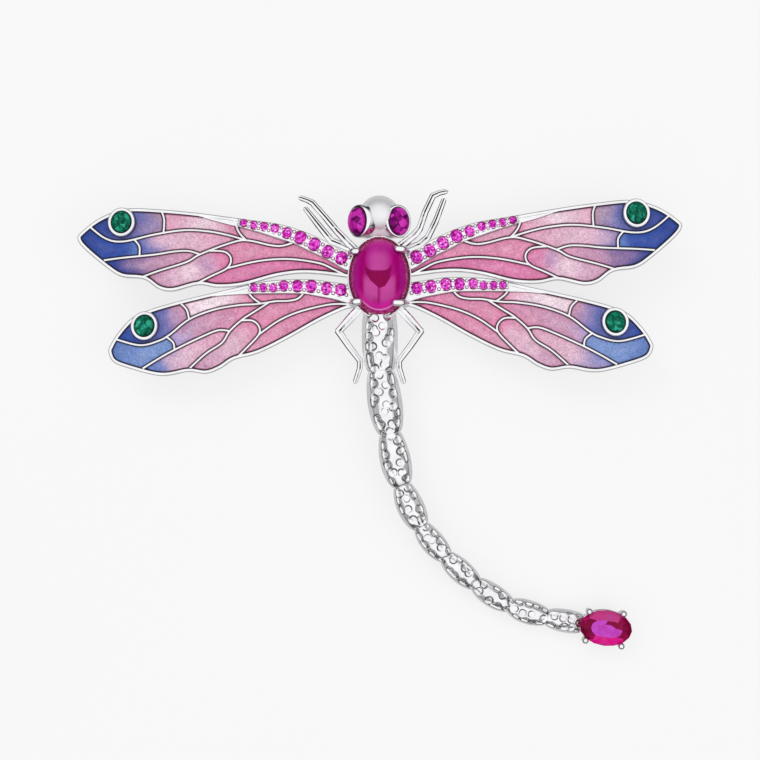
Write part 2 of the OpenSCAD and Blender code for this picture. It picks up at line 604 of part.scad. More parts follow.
// Pin across the backs of the forewings: two posts, the stem between them and its catch
pin_y = 0.245 * thorax_l;
post_top = back_z + (pin_l / 2 - post_w / 2) * tan(wing_rise) - seat;
module pin_fitting() {
    color(silver) translate([0, pin_y, 0]) {
        for (side = [-1, 1]) translate([side * pin_l / 2, 0, 0]) {
            translate([-post_w / 2, -post_w / 2, pin_z]) cube([post_w, post_w, post_top - pin_z]);
            translate([-post_w / 2, 0, pin_z]) rotate([0, 90, 0]) cylinder(r = pin_z, h = post_w, $fn = 40);
        }
        translate([-pin_l / 2, 0, pin_z]) rotate([0, 90, 0]) cylinder(d = pin_d, h = pin_l, $fn = 32);
    }
}

// Box of the brooch seen from above, so that its middle is the origin
edge_x = [for (pair = ["fore", "hind"], side = [-1, 1], p = outline(pair, side))
    side * (wing_root(pair).x + p.x * cos(wing_rise))];
mid_x = (max(edge_x) + min(edge_x)) / 2;
top_y = max([for (path = front_paths, p = path) p.y]) + front_leg_t / 2;
low_y = drop_at.y - drop_w / 2 - drop_reach - drop_wire * drop_tip / 2;
mid_y = (top_y + low_y) / 2;
module placed() {
    translate([-mid_x, -mid_y, 0]) children();
}

placed() casting();
placed() enamel("fore", 1);  // enamel_fore_right
placed() enamel("fore", -1);  // enamel_fore_left
placed() enamel("hind", 1);  // enamel_hind_right
placed() enamel("hind", -1);  // enamel_hind_left
placed() pave_row("fore", 1);  // pave_fore_right
placed() pave_row("fore", -1);  // pave_fore_left
placed() pave_row("hind", 1);  // pave_hind_right
placed() pave_row("hind", -1);  // pave_hind_left
placed() wing_stone("fore", 1);  // wing_stone_fore_right
placed() wing_stone("fore", -1);  // wing_stone_fore_left
placed() wing_stone("hind", 1);  // wing_stone_hind_right
placed() wing_stone("hind", -1);  // wing_stone_hind_left
placed()  // thorax_stone
    color(ruby) translate([0, 0, thorax_z + seat])
        cabochon(thorax_w, thorax_l, girdle_z - thorax_z - seat, thorax_h, 40, 8);
placed() eye_stone(1);  // eye_stone_right
placed() eye_stone(-1);  // eye_stone_left
placed() tail_stone();
placed() pin_fitting();
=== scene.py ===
import logging
import math
from dataclasses import dataclass
from enum import Enum
from itertools import product
from typing import Any, Callable, Iterable, Optional, Sequence

import bmesh
import bpy
import numpy as np
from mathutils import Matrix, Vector, noise
from mathutils.geometry import delaunay_2d_cdt


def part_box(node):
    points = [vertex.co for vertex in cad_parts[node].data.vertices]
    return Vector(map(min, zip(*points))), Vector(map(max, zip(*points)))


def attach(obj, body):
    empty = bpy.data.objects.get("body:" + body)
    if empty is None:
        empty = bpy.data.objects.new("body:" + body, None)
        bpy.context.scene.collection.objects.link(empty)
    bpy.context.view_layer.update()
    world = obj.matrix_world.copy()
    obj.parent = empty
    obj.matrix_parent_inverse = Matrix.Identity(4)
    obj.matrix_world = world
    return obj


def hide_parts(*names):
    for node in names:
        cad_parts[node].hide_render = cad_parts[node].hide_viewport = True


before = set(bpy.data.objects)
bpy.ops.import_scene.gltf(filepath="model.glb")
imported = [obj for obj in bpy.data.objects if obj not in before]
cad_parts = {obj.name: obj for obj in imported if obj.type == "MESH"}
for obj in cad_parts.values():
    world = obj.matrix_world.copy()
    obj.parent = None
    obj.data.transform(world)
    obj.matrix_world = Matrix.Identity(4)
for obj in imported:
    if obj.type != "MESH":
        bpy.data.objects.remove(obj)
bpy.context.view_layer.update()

log = logging.getLogger("dragonfly")
MM = 0.001
SOFT = {"interpolation_type": "SMOOTHSTEP"}
UP = np.array([0.0, 0.0, 1.0])
Rows = Sequence[Sequence[float]]
Colour = tuple[float, float, float, float]
Thing = bpy.types.Object
Mesh = bpy.types.Mesh
Material = bpy.types.Material
Socket = bpy.types.NodeSocket


def paint(code: str) -> Colour:
    """Turns a colour as a screen shows it into the renderer's own scale.

    Args:
        code: Six hexadecimal digits after a hash mark.

    Returns:
        Red, green, blue and an alpha of one.
    """
    parts = [int(code[i : i + 2], 16) / 255 for i in (1, 3, 5)]
    line = [c / 12.92 if c <= 0.04045 else ((c + 0.055) / 1.055) ** 2.4 for c in parts]
    return (line[0], line[1], line[2], 1.0)


# ---------------------------------------------------------------- sizes shared by the sub-assemblies


@dataclass(frozen=True)
class Sizes:
    """Sizes in millimetres that more than one sub-assembly uses, the same as the solid part's."""

    wing_t: float = 1.15
    cell_d: float = 0.45
    rim_w: float = 0.5
    wire_w: float = 0.36
    wing_rise: float = 3.0
    hind_drop: float = 0.4
    dot_w: float = 2.45
    dot_l: float = 2.7
    dot_h: float = 0.75
    dot_turn: float = 15.0
    bezel_h: float = 0.85
    bezel_w: float = 0.33
    pave_d: float = 1.5
    ledge_h: float = 0.2
    thorax_w: float = 6.6
    thorax_l: float = 8.8
    thorax_h: float = 3.0
    back_z: float = 3.6
    cup_out: float = 0.39
    head_d: float = 4.3
    head_gap: float = 2.6

    @property
    def cell_z(self) -> float:
        """Height of the cells' floor over the wing's back."""
        return self.wing_t - self.cell_d

    @property
    def strip_z(self) -> float:
        """Height of the small stones' strip over the wing's back."""
        return self.wing_t + self.ledge_h

    @property
    def girdle_z(self) -> float:
        """Height of the thorax stone's girdle."""
        return self.back_z + self.wing_t + 0.55

    @property
    def leg_z(self) -> float:
        """Height at which the legs leave the thorax setting."""
        return self.back_z + self.wing_t + 0.1

    @property
    def cup_a(self) -> float:
        """Half width of the thorax setting."""
        return self.thorax_w / 2 + self.cup_out

    @property
    def cup_b(self) -> float:
        """Half length of the thorax setting."""
        return self.thorax_l / 2 + self.cup_out

    @property
    def head_y(self) -> float:
        """How far the head's middle is ahead of the thorax stone's."""
        return self.cup_b + self.head_gap


SIZES = Sizes()


def heart() -> np.ndarray:
    """Finds the middle of the thorax stone in millimetres, from which every table is set out."""
    low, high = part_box("thorax_stone")
    return np.array([(low.x + high.x) / 2 / MM, (low.y + high.y) / 2 / MM, 0.0])


HEART = heart()

# ---------------------------------------------------------------- curves and closed shells


def smooth(rows: Rows | np.ndarray, steps: int, closed: bool = False) -> np.ndarray:
    """Draws a smooth curve through a row of points.

    Args:
        rows: Points, each with the same number of columns.
        steps: Steps between one point and the next.
        closed: Whether the last point joins the first.

    Returns:
        The curve's points.
    """
    p = np.asarray(rows, float)
    n = len(p)
    t = (np.arange(steps) / steps)[:, None]
    out = []
    for i in range(n if closed else n - 1):
        if closed:
            a, b, c, d = p[i - 1], p[i], p[(i + 1) % n], p[(i + 2) % n]
        else:
            a, b, c, d = p[max(i - 1, 0)], p[i], p[i + 1], p[min(i + 2, n - 1)]
        bend, twist = (2 * a - 5 * b + 4 * c - d) * t**2, (3 * b - a - 3 * c + d) * t**3
        out.append(0.5 * (2 * b + (c - a) * t + bend + twist))
    curve = np.concatenate(out)
    return curve if closed else np.vstack([curve, p[-1]])


def headings(path: np.ndarray, closed: bool = False) -> np.ndarray:
    """Unit directions along a path, one for each point."""
    run = np.roll(path, -1, 0) - np.roll(path, 1, 0) if closed else np.gradient(path, axis=0)
    return run / np.maximum(np.linalg.norm(run, axis=1, keepdims=True), 1e-12)


def inset(loop: np.ndarray, by: float) -> np.ndarray:
    """Moves a clockwise outline inwards by a distance, and outwards if it is negative."""
    t = headings(loop, True)
    return loop + by * np.stack([t[:, 1], -t[:, 0]], 1)


def ellipse(a: float, b: float, sides: int, power: float = 2.0) -> np.ndarray:
    """Draws an ellipse counterclockwise.

    Args:
        a: Half its width.
        b: Half its length.
        sides: How many points it gets.
        power: Two for a true ellipse, more for a box with rounder and rounder corners.

    Returns:
        Its points.
    """
    w = 2 * np.pi * np.arange(sides) / sides
    c, s = np.cos(w), np.sin(w)
    return np.stack([a * np.sign(c) * np.abs(c) ** (2 / power), b * np.sign(s) * np.abs(s) ** (2 / power)], 1)


def raised(flat: np.ndarray, z: float | np.ndarray) -> np.ndarray:
    """Gives flat points a height, one for all or one each."""
    return np.column_stack([flat, np.broadcast_to(z, len(flat))])


def turned(points: np.ndarray, degrees: float) -> np.ndarray:
    """Turns points about the vertical.

    Args:
        points: Points with two columns or three.
        degrees: How far, counterclockwise seen from above.

    Returns:
        The points at their new places.
    """
    c, s = math.cos(math.radians(degrees)), math.sin(math.radians(degrees))
    x, y = points[:, 0], points[:, 1]
    return np.column_stack([x * c - y * s, x * s + y * c, points[:, 2:]])


def inside(points: np.ndarray, loop: np.ndarray) -> np.ndarray:
    """Tells which points lie inside a closed outline.

    Args:
        points: Flat points.
        loop: The outline's points.

    Returns:
        Yes or no for each point.
    """
    x, y = points[:, 0, None], points[:, 1, None]
    (ax, ay), (bx, by) = loop.T, np.roll(loop, -1, 0).T
    rise = np.where(np.abs(by - ay) < 1e-12, 1e-12, by - ay)
    hit = ((ay > y) != (by > y)) & (x < ax + (y - ay) * (bx - ax) / rise)
    return hit.sum(1) % 2 == 1


def reach(points: np.ndarray, starts: np.ndarray, ends: np.ndarray) -> np.ndarray:
    """Measures how far points are from the nearest of some straight edges.

    Args:
        points: Flat points.
        starts: Where each edge starts.
        ends: Where each edge ends.

    Returns:
        A distance for each point.
    """
    best = np.full(len(points), 1e9)
    for a, b in zip(starts, ends):
        run = b - a
        t = np.clip(((points - a) @ run) / max(run @ run, 1e-12), 0, 1)
        best = np.minimum(best, np.linalg.norm(points - a - t[:, None] * run, axis=1))
    return best


def ease(value: np.ndarray) -> np.ndarray:
    """Goes smoothly from zero to one as a value does."""
    return np.clip(value, 0, 1) ** 2 * (3 - 2 * np.clip(value, 0, 1))


def between(a: np.ndarray, b: np.ndarray, share: np.ndarray) -> np.ndarray:
    """Goes from one row of values to another by a share for each."""
    return a * (1 - share[:, None]) + b * share[:, None]


def patches(tri: np.ndarray) -> np.ndarray:
    """Numbers the patches of joined triangles.

    Args:
        tri: The triangles, by corner.

    Returns:
        The number of each triangle's patch.
    """
    parent = list(range(int(tri.max()) + 1))

    def top(i: int) -> int:
        """Finds the corner that stands for a corner's patch.

        Args:
            i: The corner.

        Returns:
            The corner that stands for its patch.
        """
        while parent[i] != i:
            parent[i] = parent[parent[i]]
            i = parent[i]
        return i

    for a, b, c in tri:
        first, second, third = top(a), top(b), top(c)
        parent[second] = first
        parent[top(third)] = first
    return np.array([top(t[0]) for t in tri])


def rim_of(tri: np.ndarray) -> np.ndarray:
    """Finds the edges that only one triangle of a patch has.

    Args:
        tri: The triangles, by corner.

    Returns:
        The two corners of each such edge.
    """
    pairs = np.sort(np.concatenate([tri[:, [0, 1]], tri[:, [1, 2]], tri[:, [2, 0]]]), axis=1)
    edges, times = np.unique(pairs, axis=0, return_counts=True)
    return edges[times == 1]


def facets(halves: Sequence[float], n: int) -> tuple[list[list[int]], list[tuple[int, int]]]:
    """Lays facets between the rings of corners of a cut stone, and one over its underside.

    Args:
        halves: Share of a step by which each ring is turned, from the lowest ring up.
        n: Corners of each ring.

    Returns:
        The faces, and the ring and the place in it of each.
    """
    faces, kinds = [], []
    for i, j in product(range(len(halves) - 1), range(n)):
        p, q = i * n + j, i * n + (j + 1) % n
        r, s = p + n, q + n
        if halves[i] == halves[i + 1]:
            made = [[p, q, s, r]]
        elif halves[i + 1]:
            made = [[p, q, r], [q, s, r]]
        else:
            made = [[p, s, r], [p, q, s]]
        faces += made
        kinds += [(i, j)] * len(made)
    return faces + [list(range(n))[::-1]], kinds + [(0, 0)]


def keep(mesh: Mesh, name: str, values: Any, domain: str = "POINT") -> None:
    """Stores a number, a vector or a colour for each corner or face of a mesh.

    Args:
        mesh: The mesh.
        name: What the stored values are called.
        values: The values, one row each.
        domain: POINT or FACE.
    """
    values = np.array(values, np.float32)
    wide = values.shape[1] if values.ndim > 1 else 1
    kind, key = {1: ("FLOAT", "value"), 3: ("FLOAT_VECTOR", "vector"), 4: ("FLOAT_COLOR", "color")}[wide]
    mesh.attributes.new(name, kind, domain).data.foreach_set(key, values.ravel())


def new_object(name: str, mesh: Mesh) -> Thing:
    """Puts a mesh into the scene.

    Args:
        name: The object's name.
        mesh: Its mesh.

    Returns:
        The object, at the origin.
    """
    thing = bpy.data.objects.new(name, mesh)
    bpy.context.scene.collection.objects.link(thing)
    return thing


def finished(thing: Thing, crease: float, finish: Material) -> Thing:
    """Shades a piece smooth and gives it its finish.

    Args:
        thing: The piece.
        crease: Degrees between faces from which their edge stays sharp.
        finish: Its material.

    Returns:
        The same piece.
    """
    mesh = thing.data
    mesh.polygons.foreach_set("use_smooth", [True] * len(mesh.polygons))
    mesh.set_sharp_from_angle(angle=math.radians(crease))
    mesh.materials.append(finish)
    return thing


class Form:
    """Corners and faces of a mesh while it is built, in millimetres from the thorax stone's middle."""

    def __init__(self) -> None:
        """Starts with nothing in it."""
        self.points: list[np.ndarray] = []
        self.faces: list[list[int]] = []
        self.stored: dict[str, Any] = {}
        self.count = 0

    def add(self, points: np.ndarray, faces: Iterable[Sequence[int]]) -> "Form":
        """Adds corners, and faces that count from the first of them.

        Args:
            points: The corners.
            faces: The corners of each face.

        Returns:
            This form.
        """
        self.points.append(np.asarray(points, float))
        self.faces += [[i + self.count for i in f] for f in faces]
        self.count += len(points)
        return self

    def grid(self, rows: Sequence[np.ndarray], along: bool = False) -> "Form":
        """Skins closed rows of corners that have the same number each.

        Args:
            rows: The rows, one after another along the shell.
            along: Whether the last row joins the first. If not, both get a face.

        Returns:
            This form.
        """
        m, k = len(rows), len(rows[0])
        faces = []
        for i, j in product(range(m if along else m - 1), range(k)):
            a, b, n = i * k, (i + 1) % m * k, (j + 1) % k
            faces.append([a + j, b + j, b + n, a + n])
        if not along:
            faces += [list(range(k)), list(range((m - 1) * k + k - 1, (m - 1) * k - 1, -1))]
        return self.add(np.concatenate(rows), faces)

    def slab(self, tri: np.ndarray, upper: np.ndarray, lower: np.ndarray) -> "Form":
        """Closes a patch of triangles into a slab.

        Args:
            tri: The triangles, by corner.
            upper: The corners of its top.
            lower: The corners of its underside.

        Returns:
            This form.
        """
        n = len(upper)
        skin = [list(t) for t in tri] + [[n + t[0], n + t[2], n + t[1]] for t in tri]
        skin += [[a, b, n + b, n + a] for a, b in rim_of(tri)]
        return self.add(np.vstack([upper, lower]), skin)

    def sweep(self, path: np.ndarray, half: np.ndarray | Sequence[float], profile: np.ndarray,
              closed: bool = False, up: np.ndarray = UP) -> "Form":
        """Carries a closed profile along a path.

        Args:
            path: Points in space.
            half: Half width and half height of the profile, for the whole path or for each point.
            profile: The profile's points, from minus one to one each way.
            closed: Whether the path closes on itself.
            up: A direction that the path never takes.

        Returns:
            This form.
        """
        t = headings(path, closed)
        side = np.cross(t, up)
        side /= np.maximum(np.linalg.norm(side, axis=1, keepdims=True), 1e-12)
        rise = np.cross(side, t)
        half = np.broadcast_to(np.asarray(half, float), (len(path), 2))
        rows = [path[i] + half[i, 0] * profile[:, :1] * side[i] + half[i, 1] * profile[:, 1:] * rise[i]
                for i in range(len(path))]
        return self.grid(rows, along=closed)

    def rod(self, path: np.ndarray, thick: float | np.ndarray, sides: int, power: float = 2.0,
            up: np.ndarray = UP) -> "Form":
        """Makes a bar along a path, with rounded ends.

        Args:
            path: Points along its middle.
            thick: Its thickness, for the whole path or for each point.
            sides: Corners round it.
            power: Two for a round bar, more for a squarer one.
            up: A direction that the path never takes.

        Returns:
            This form.
        """
        t = headings(path)
        thick = np.broadcast_to(np.asarray(thick, float), (len(path),))
        turn = np.radians([8, 30, 52, 74])
        front = [path[0] - t[0] * thick[0] / 2 * math.cos(a) for a in turn]
        back = [path[-1] + t[-1] * thick[-1] / 2 * math.cos(a) for a in turn[::-1]]
        lead = [thick[0] / 2 * math.sin(a) for a in turn]
        tail = [thick[-1] / 2 * math.sin(a) for a in turn[::-1]]
        half = np.concatenate([lead, thick / 2, tail])
        return self.sweep(np.vstack([*front, *path, *back]), np.stack([half, half], 1),
                          ellipse(1, 1, sides, power), up=up)

    def ovals(self, levels: Rows, sides: int, ring: bool = False) -> "Form":
        """Stacks ovals, given by half width, half length and height, into a shell, or into a ring with a hole."""
        return self.grid([raised(ellipse(a, b, sides), z) for a, b, z in levels], along=ring)

    def dome(self, a: float, b: float, foot: float, girdle: float, height: float, sides: int,
             steps: int) -> "Form":
        """Makes an oval domed stone and stores how high up on its dome each corner is, as crown.

        Args:
            a: Half its width.
            b: Half its length.
            foot: Height of its flat back.
            girdle: Height of its girdle.
            height: Its height over the girdle.
            sides: Corners round it.
            steps: Steps from the girdle to the top.

        Returns:
            This form.
        """
        levels = [[a * 0.9, b * 0.92, foot], [a * 0.97, b * 0.975, foot + 0.06], [a, b, foot + 0.2]]
        for i in range(steps + 1):
            w = math.radians(89.2) * i / steps
            levels.append([a * math.cos(w), b * math.cos(w), girdle + height * math.sin(w)])
        self.stored["crown"] = np.repeat([max(level[2] - girdle, 0) / height for level in levels], sides)
        return self.ovals(levels, sides)

    def ball(self, centre: Sequence[float], radii: Sequence[float], rings: int, sides: int) -> "Form":
        """Makes an egg-shaped shell.

        Args:
            centre: Its middle.
            radii: Half its size each way.
            rings: Steps from its lowest point to its highest.
            sides: Corners round it.

        Returns:
            This form.
        """
        a, b, c = radii
        turn = [math.radians(-89 + 178 * i / rings) for i in range(rings + 1)]
        return self.grid([raised(ellipse(a * math.cos(w), b * math.cos(w), sides), c * math.sin(w))
                          + np.asarray(centre, float) for w in turn])

    def move(self, rule: Callable[[np.ndarray], np.ndarray]) -> "Form":
        """Passes every corner so far through a rule."""
        self.points = [rule(np.concatenate(self.points))]
        return self

    def mesh(self, name: str, closed: bool = True) -> Mesh:
        """Makes the mesh, in metres in the shared frame.

        Args:
            name: The mesh's name.
            closed: Whether corners at one place are joined and faces turned outwards.

        Returns:
            The mesh with all that the form stores.
        """
        mesh = bpy.data.meshes.new(name)
        mesh.from_pydata(((np.concatenate(self.points) + HEART) * MM).tolist(), [], self.faces)
        if closed:
            edit = bmesh.new()
            edit.from_mesh(mesh)
            bmesh.ops.remove_doubles(edit, verts=edit.verts, dist=1e-7)
            bmesh.ops.recalc_face_normals(edit, faces=edit.faces)
            edit.to_mesh(mesh)
            edit.free()
        for key, values in self.stored.items():
            keep(mesh, key, values)
        return mesh

    def piece(self, name: str, crease: float, finish: Material) -> Thing:
        """Makes a piece of the brooch, with edges sharp where faces meet at more than crease degrees."""
        return finished(new_object(name, self.mesh(name)), crease, finish)

    def small(self, name: str) -> Thing:
        """Makes a small form about the origin, for Geometry Nodes to repeat."""
        return new_object(name, self.move(lambda p: p - HEART).mesh(name))


# ---------------------------------------------------------------- node trees


class Tree:
    """A node tree under construction."""

    def __init__(self, tree: bpy.types.NodeTree) -> None:
        """Takes the empty tree that is filled."""
        self.tree = tree

    @staticmethod
    def socket(sockets: Any, key: int | str | None = None) -> Any:
        """Finds a socket by its place, by its name among those in use, or else the first in use.

        Args:
            sockets: A node's inputs or outputs.
            key: The place or name.

        Returns:
            The socket.
        """
        if isinstance(key, int):
            return sockets[key]
        return next(s for s in sockets if s.enabled and key in (None, s.name))

    def node(self, kind: str, settings: Optional[dict] = None, values: Optional[dict] = None) -> bpy.types.Node:
        """Adds a node.

        Args:
            kind: The node's type.
            settings: Its settings, set before the sockets. "stops" holds a ramp's colours by place.
            values: What its sockets hold or are linked to, by name or place.

        Returns:
            The node.
        """
        node = self.tree.nodes.new(kind)
        for key, value in (settings or {}).items():
            if key == "stops":
                stops = node.color_ramp.elements
                while len(stops) < len(value):
                    stops.new(1.0)
                for stop, (place, colour) in zip(stops, value):
                    stop.position, stop.color = place, colour
            else:
                setattr(node, key, value)
        for key, value in (values or {}).items():
            target = self.socket(node.inputs, key)
            value = value.out if isinstance(value, Level) else value
            if isinstance(value, Socket):
                self.tree.links.new(value, target)
            else:
                target.default_value = value
        return node

    def out(self, kind: str, settings: Optional[dict] = None, values: Optional[dict] = None) -> Socket:
        """Adds a node and gives the first of its outputs in use."""
        return self.socket(self.node(kind, settings, values).outputs)


class Level:
    """A number that varies over a surface. Arithmetic on it adds Math nodes."""

    def __init__(self, shader: "Shader", out: Socket) -> None:
        """Wraps an output socket of a shader's tree."""
        self.shader, self.out = shader, out

    def math(self, operation: str, *values: Any) -> "Level":
        """Adds a Math node that takes the values in their order."""
        out = self.shader.out("ShaderNodeMath", {"operation": operation}, dict(enumerate(values)))
        return Level(self.shader, out)

    def __add__(self, other: Any) -> "Level":
        """Sum."""
        return self.math("ADD", self, other)

    __radd__ = __add__

    def __mul__(self, other: Any) -> "Level":
        """Product."""
        return self.math("MULTIPLY", self, other)

    __rmul__ = __mul__

    def __sub__(self, other: Any) -> "Level":
        """Difference."""
        return self.math("SUBTRACT", self, other)

    def __rsub__(self, other: float) -> "Level":
        """Difference with this on the right."""
        return self.math("SUBTRACT", other, self)

    def __truediv__(self, other: Any) -> "Level":
        """Quotient."""
        return self.math("DIVIDE", self, other)

    def __rtruediv__(self, other: float) -> "Level":
        """Quotient with this on the right."""
        return self.math("DIVIDE", other, self)

    def __pow__(self, other: float) -> "Level":
        """Power."""
        return self.math("POWER", self, other)

    def __abs__(self) -> "Level":
        """Size without its sign."""
        return self.math("ABSOLUTE", self)

    def least(self, *others: "Level") -> "Level":
        """The smallest of this and the others."""
        return self.math("MINIMUM", self, others[0].least(*others[1:])) if others else self

    def step(self, low: float, high: float, start: float = 0.0, end: float = 1.0) -> "Level":
        """Eases from start to end as this goes from low to high."""
        values = {0: self, 1: low, 2: high, 3: start, 4: end}
        return Level(self.shader, self.shader.out("ShaderNodeMapRange", SOFT, values))

    def fade(self, low: float, high: float) -> "Level":
        """Eases from one to zero as this goes from low to high."""
        return 1 - self.step(low, high)


class Shader(Tree):
    """A material's tree with its one Principled shader."""

    def __init__(self, name: str, **constants: Any) -> None:
        """Makes the material.

        Args:
            name: The material's name.
            constants: What is the same all over, by the socket's name with _ for a space.
        """
        self.material = bpy.data.materials.new(name)
        self.material.use_nodes = True
        super().__init__(self.material.node_tree)
        self.tree.nodes.clear()
        self.surface = self.node("ShaderNodeBsdfPrincipled", None,
                                 {key.replace("_", " "): value for key, value in constants.items()})
        self.node("ShaderNodeOutputMaterial", None, {"Surface": self.surface.outputs[0]})
        self.coords = self.node("ShaderNodeTexCoord").outputs["Object"]

    def attribute(self, name: str, output: str = "Fac") -> Level:
        """Reads a value, or for Color a colour, that the mesh stores."""
        return Level(self, self.node("ShaderNodeAttribute", {"attribute_name": name}).outputs[output])

    def about(self, middle: np.ndarray, stretch: Sequence[float] = (1, 1, 1)) -> Socket:
        """Object coordinates about a point in metres, stretched."""
        moved = self.out("ShaderNodeVectorMath", {"operation": "SUBTRACT"}, {0: self.coords, 1: tuple(middle)})
        return self.out("ShaderNodeMapping", {"vector_type": "POINT"}, {"Vector": moved, "Scale": stretch})

    def noise(self, size: float, detail: float = 2.0, coords: Optional[Socket] = None, wave: float = 0.0) -> Level:
        """Cloudy variation from zero to one, with lumps of size millimetres."""
        values = {"Vector": coords or self.coords, "Scale": 1 / (size * MM), "Detail": detail, "Distortion": wave}
        return Level(self, self.out("ShaderNodeTexNoise", {"noise_dimensions": "3D"}, values))

    def cells(self, size: float) -> Level:
        """A number of its own for each of the cells of size millimetres that fill space."""
        node = self.node("ShaderNodeTexVoronoi", None, {"Vector": self.coords, "Scale": 1 / (size * MM)})
        return self.split(node.outputs["Color"])[0]

    def split(self, vector: Socket) -> list[Level]:
        """The three numbers of a vector or colour."""
        return [Level(self, out) for out in self.node("ShaderNodeSeparateXYZ", None, {0: vector}).outputs]

    def blend(self, a: Any, b: Any, factor: Any, mode: str = "MIX") -> Socket:
        """Mixes colour b into colour a."""
        return self.out("ShaderNodeMix", {"data_type": "RGBA", "blend_type": mode, "clamp_factor": True},
                        {"Factor": factor, "A": a, "B": b})

    def scaled(self, colour: Any, by: Level) -> Socket:
        """Makes a colour lighter or darker by a number."""
        return self.out("ShaderNodeVectorMath", {"operation": "SCALE"}, {"Vector": colour, "Scale": by})

    def ramp(self, value: Level, stops: Sequence[tuple[float, str]]) -> Socket:
        """Colours by a number."""
        stops = [(place, paint(code)) for place, code in stops]
        return self.out("ShaderNodeValToRGB", {"stops": stops}, {0: value})

    def bump(self, height: Level, strength: float, depth: float) -> Socket:
        """A Normal from a height, depth in millimetres."""
        values = {"Height": height, "Strength": strength, "Distance": depth * MM}
        return self.out("ShaderNodeBump", None, values)

    def put(self, **links: Any) -> Material:
        """Links what varies to the Principled shader's sockets.

        Args:
            links: Numbers, colours and a normal by the socket's name with _ for a space.

        Returns:
            The finished material.
        """
        for key, value in links.items():
            value = value.out if isinstance(value, Level) else value
            self.tree.links.new(value, self.surface.inputs[key.replace("_", " ")])
        return self.material


class Maker(Tree):
    """A Geometry Nodes tree with named inputs, run on an object to give a plain mesh."""

    def __init__(self, name: str, **sockets: tuple[str, Any]) -> None:
        """Starts the tree.

        Args:
            name: The tree's name.
            sockets: Its inputs besides the finish: socket type and default value by name.
        """
        super().__init__(bpy.data.node_groups.new(name, "GeometryNodeTree"))
        face = self.tree.interface
        for way in ("INPUT", "OUTPUT"):
            face.new_socket(name="Geometry", in_out=way, socket_type="NodeSocketGeometry")
        for key, (kind, value) in {"Finish": ("Material", None), **sockets}.items():
            made = face.new_socket(name=key, in_out="INPUT", socket_type=f"NodeSocket{kind}")
            if value is not None:
                made.default_value = value
        self.start = self.tree.nodes.new("NodeGroupInput").outputs

    def math(self, operation: str, a: Any, b: Any) -> Socket:
        """Adds a Math node."""
        return self.out("ShaderNodeMath", {"operation": operation}, {0: a, 1: b})

    def stored(self, name: str, kind: str = "FLOAT") -> Socket:
        """An attribute that the mesh carries."""
        return self.out("GeometryNodeInputNamedAttribute", {"data_type": kind}, {"Name": name})

    def chance(self, high: Any) -> Socket:
        """A random number up to high, by the tree's own seed."""
        return self.out("FunctionNodeRandomValue", {"data_type": "FLOAT"},
                        {"Min": 0.0, "Max": high, "Seed": self.start["Seed"]})

    def end(self, geometry: Socket, soft: Any = True) -> "Maker":
        """Closes the tree: shaded, instances made real, finish set.

        Args:
            geometry: What it has made.
            soft: Whether it is shaded smooth.

        Returns:
            The tree.
        """
        shaded = self.out("GeometryNodeSetShadeSmooth", None, {0: geometry, "Shade Smooth": soft})
        real = self.out("GeometryNodeRealizeInstances", None, {0: shaded})
        dressed = self.out("GeometryNodeSetMaterial", None, {"Geometry": real, "Material": self.start["Finish"]})
        self.tree.links.new(dressed, self.tree.nodes.new("NodeGroupOutput").inputs[0])
        return self

    def run(self, mesh: Mesh, **values: Any) -> Thing:
        """Runs the tree on a mesh.

        Args:
            mesh: What the tree starts from, with the name of the piece.
            values: The inputs' values by name.

        Returns:
            An object with a plain mesh.
        """
        thing = new_object(mesh.name, mesh)
        step = thing.modifiers.new("make", "NODES")
        step.node_group = self.tree
        for item in self.tree.interface.items_tree:
            if item.item_type == "SOCKET" and item.in_out == "INPUT" and item.name in values:
                step[item.identifier] = values[item.name]
        return made_plain(thing)


def made_plain(thing: Thing) -> Thing:
    """Turns an object's modifiers into its plain mesh.

    Args:
        thing: The object.

    Returns:
        The same object, with no modifier left.
    """
    view = bpy.context.evaluated_depsgraph_get()
    plain = bpy.data.meshes.new_from_object(thing.evaluated_get(view), depsgraph=view)
    thing.modifiers.clear()
    thing.data = plain
    return thing


def points_mesh(name: str, points: np.ndarray, edges: Sequence[Sequence[int]] = (), **stored: Any) -> Mesh:
    """Makes a mesh of bare points or lines that a tree starts from.

    Args:
        name: The mesh's name.
        points: Corners in millimetres from the thorax stone's middle.
        edges: Lines between them.
        stored: Numbers kept by name, one for all points or one each.

    Returns:
        The mesh.
    """
    mesh = bpy.data.meshes.new(name)
    mesh.from_pydata(((np.asarray(points) + HEART) * MM).tolist(), [list(e) for e in edges], [])
    for key, values in stored.items():
        keep(mesh, key, np.broadcast_to(values, len(points)))
    return mesh


def wire_maker() -> Maker:
    """Plans wires of an oval section along lines.

    Returns:
        The tree.
    """
    tree = Maker("wires", Width=("Float", 0.36), Height=("Float", 0.4), Sides=("Int", 14))
    line = tree.out("GeometryNodeMeshToCurve", None, {0: tree.start["Geometry"]})
    line = tree.out("GeometryNodeSetCurveNormal", {"mode": "Z_UP"}, {0: line})
    ring = tree.out("GeometryNodeCurvePrimitiveCircle", None,
                    {"Resolution": tree.start["Sides"], "Radius": 0.5 * MM})
    size = tree.out("ShaderNodeCombineXYZ", None, {0: tree.start["Width"], 1: tree.start["Height"], 2: 1.0})
    oval = tree.out("GeometryNodeTransform", None, {"Geometry": ring, "Scale": size})
    tube = {"Curve": line, "Profile Curve": oval, "Fill Caps": True}
    return tree.end(tree.out("GeometryNodeCurveToMesh", None, tube))


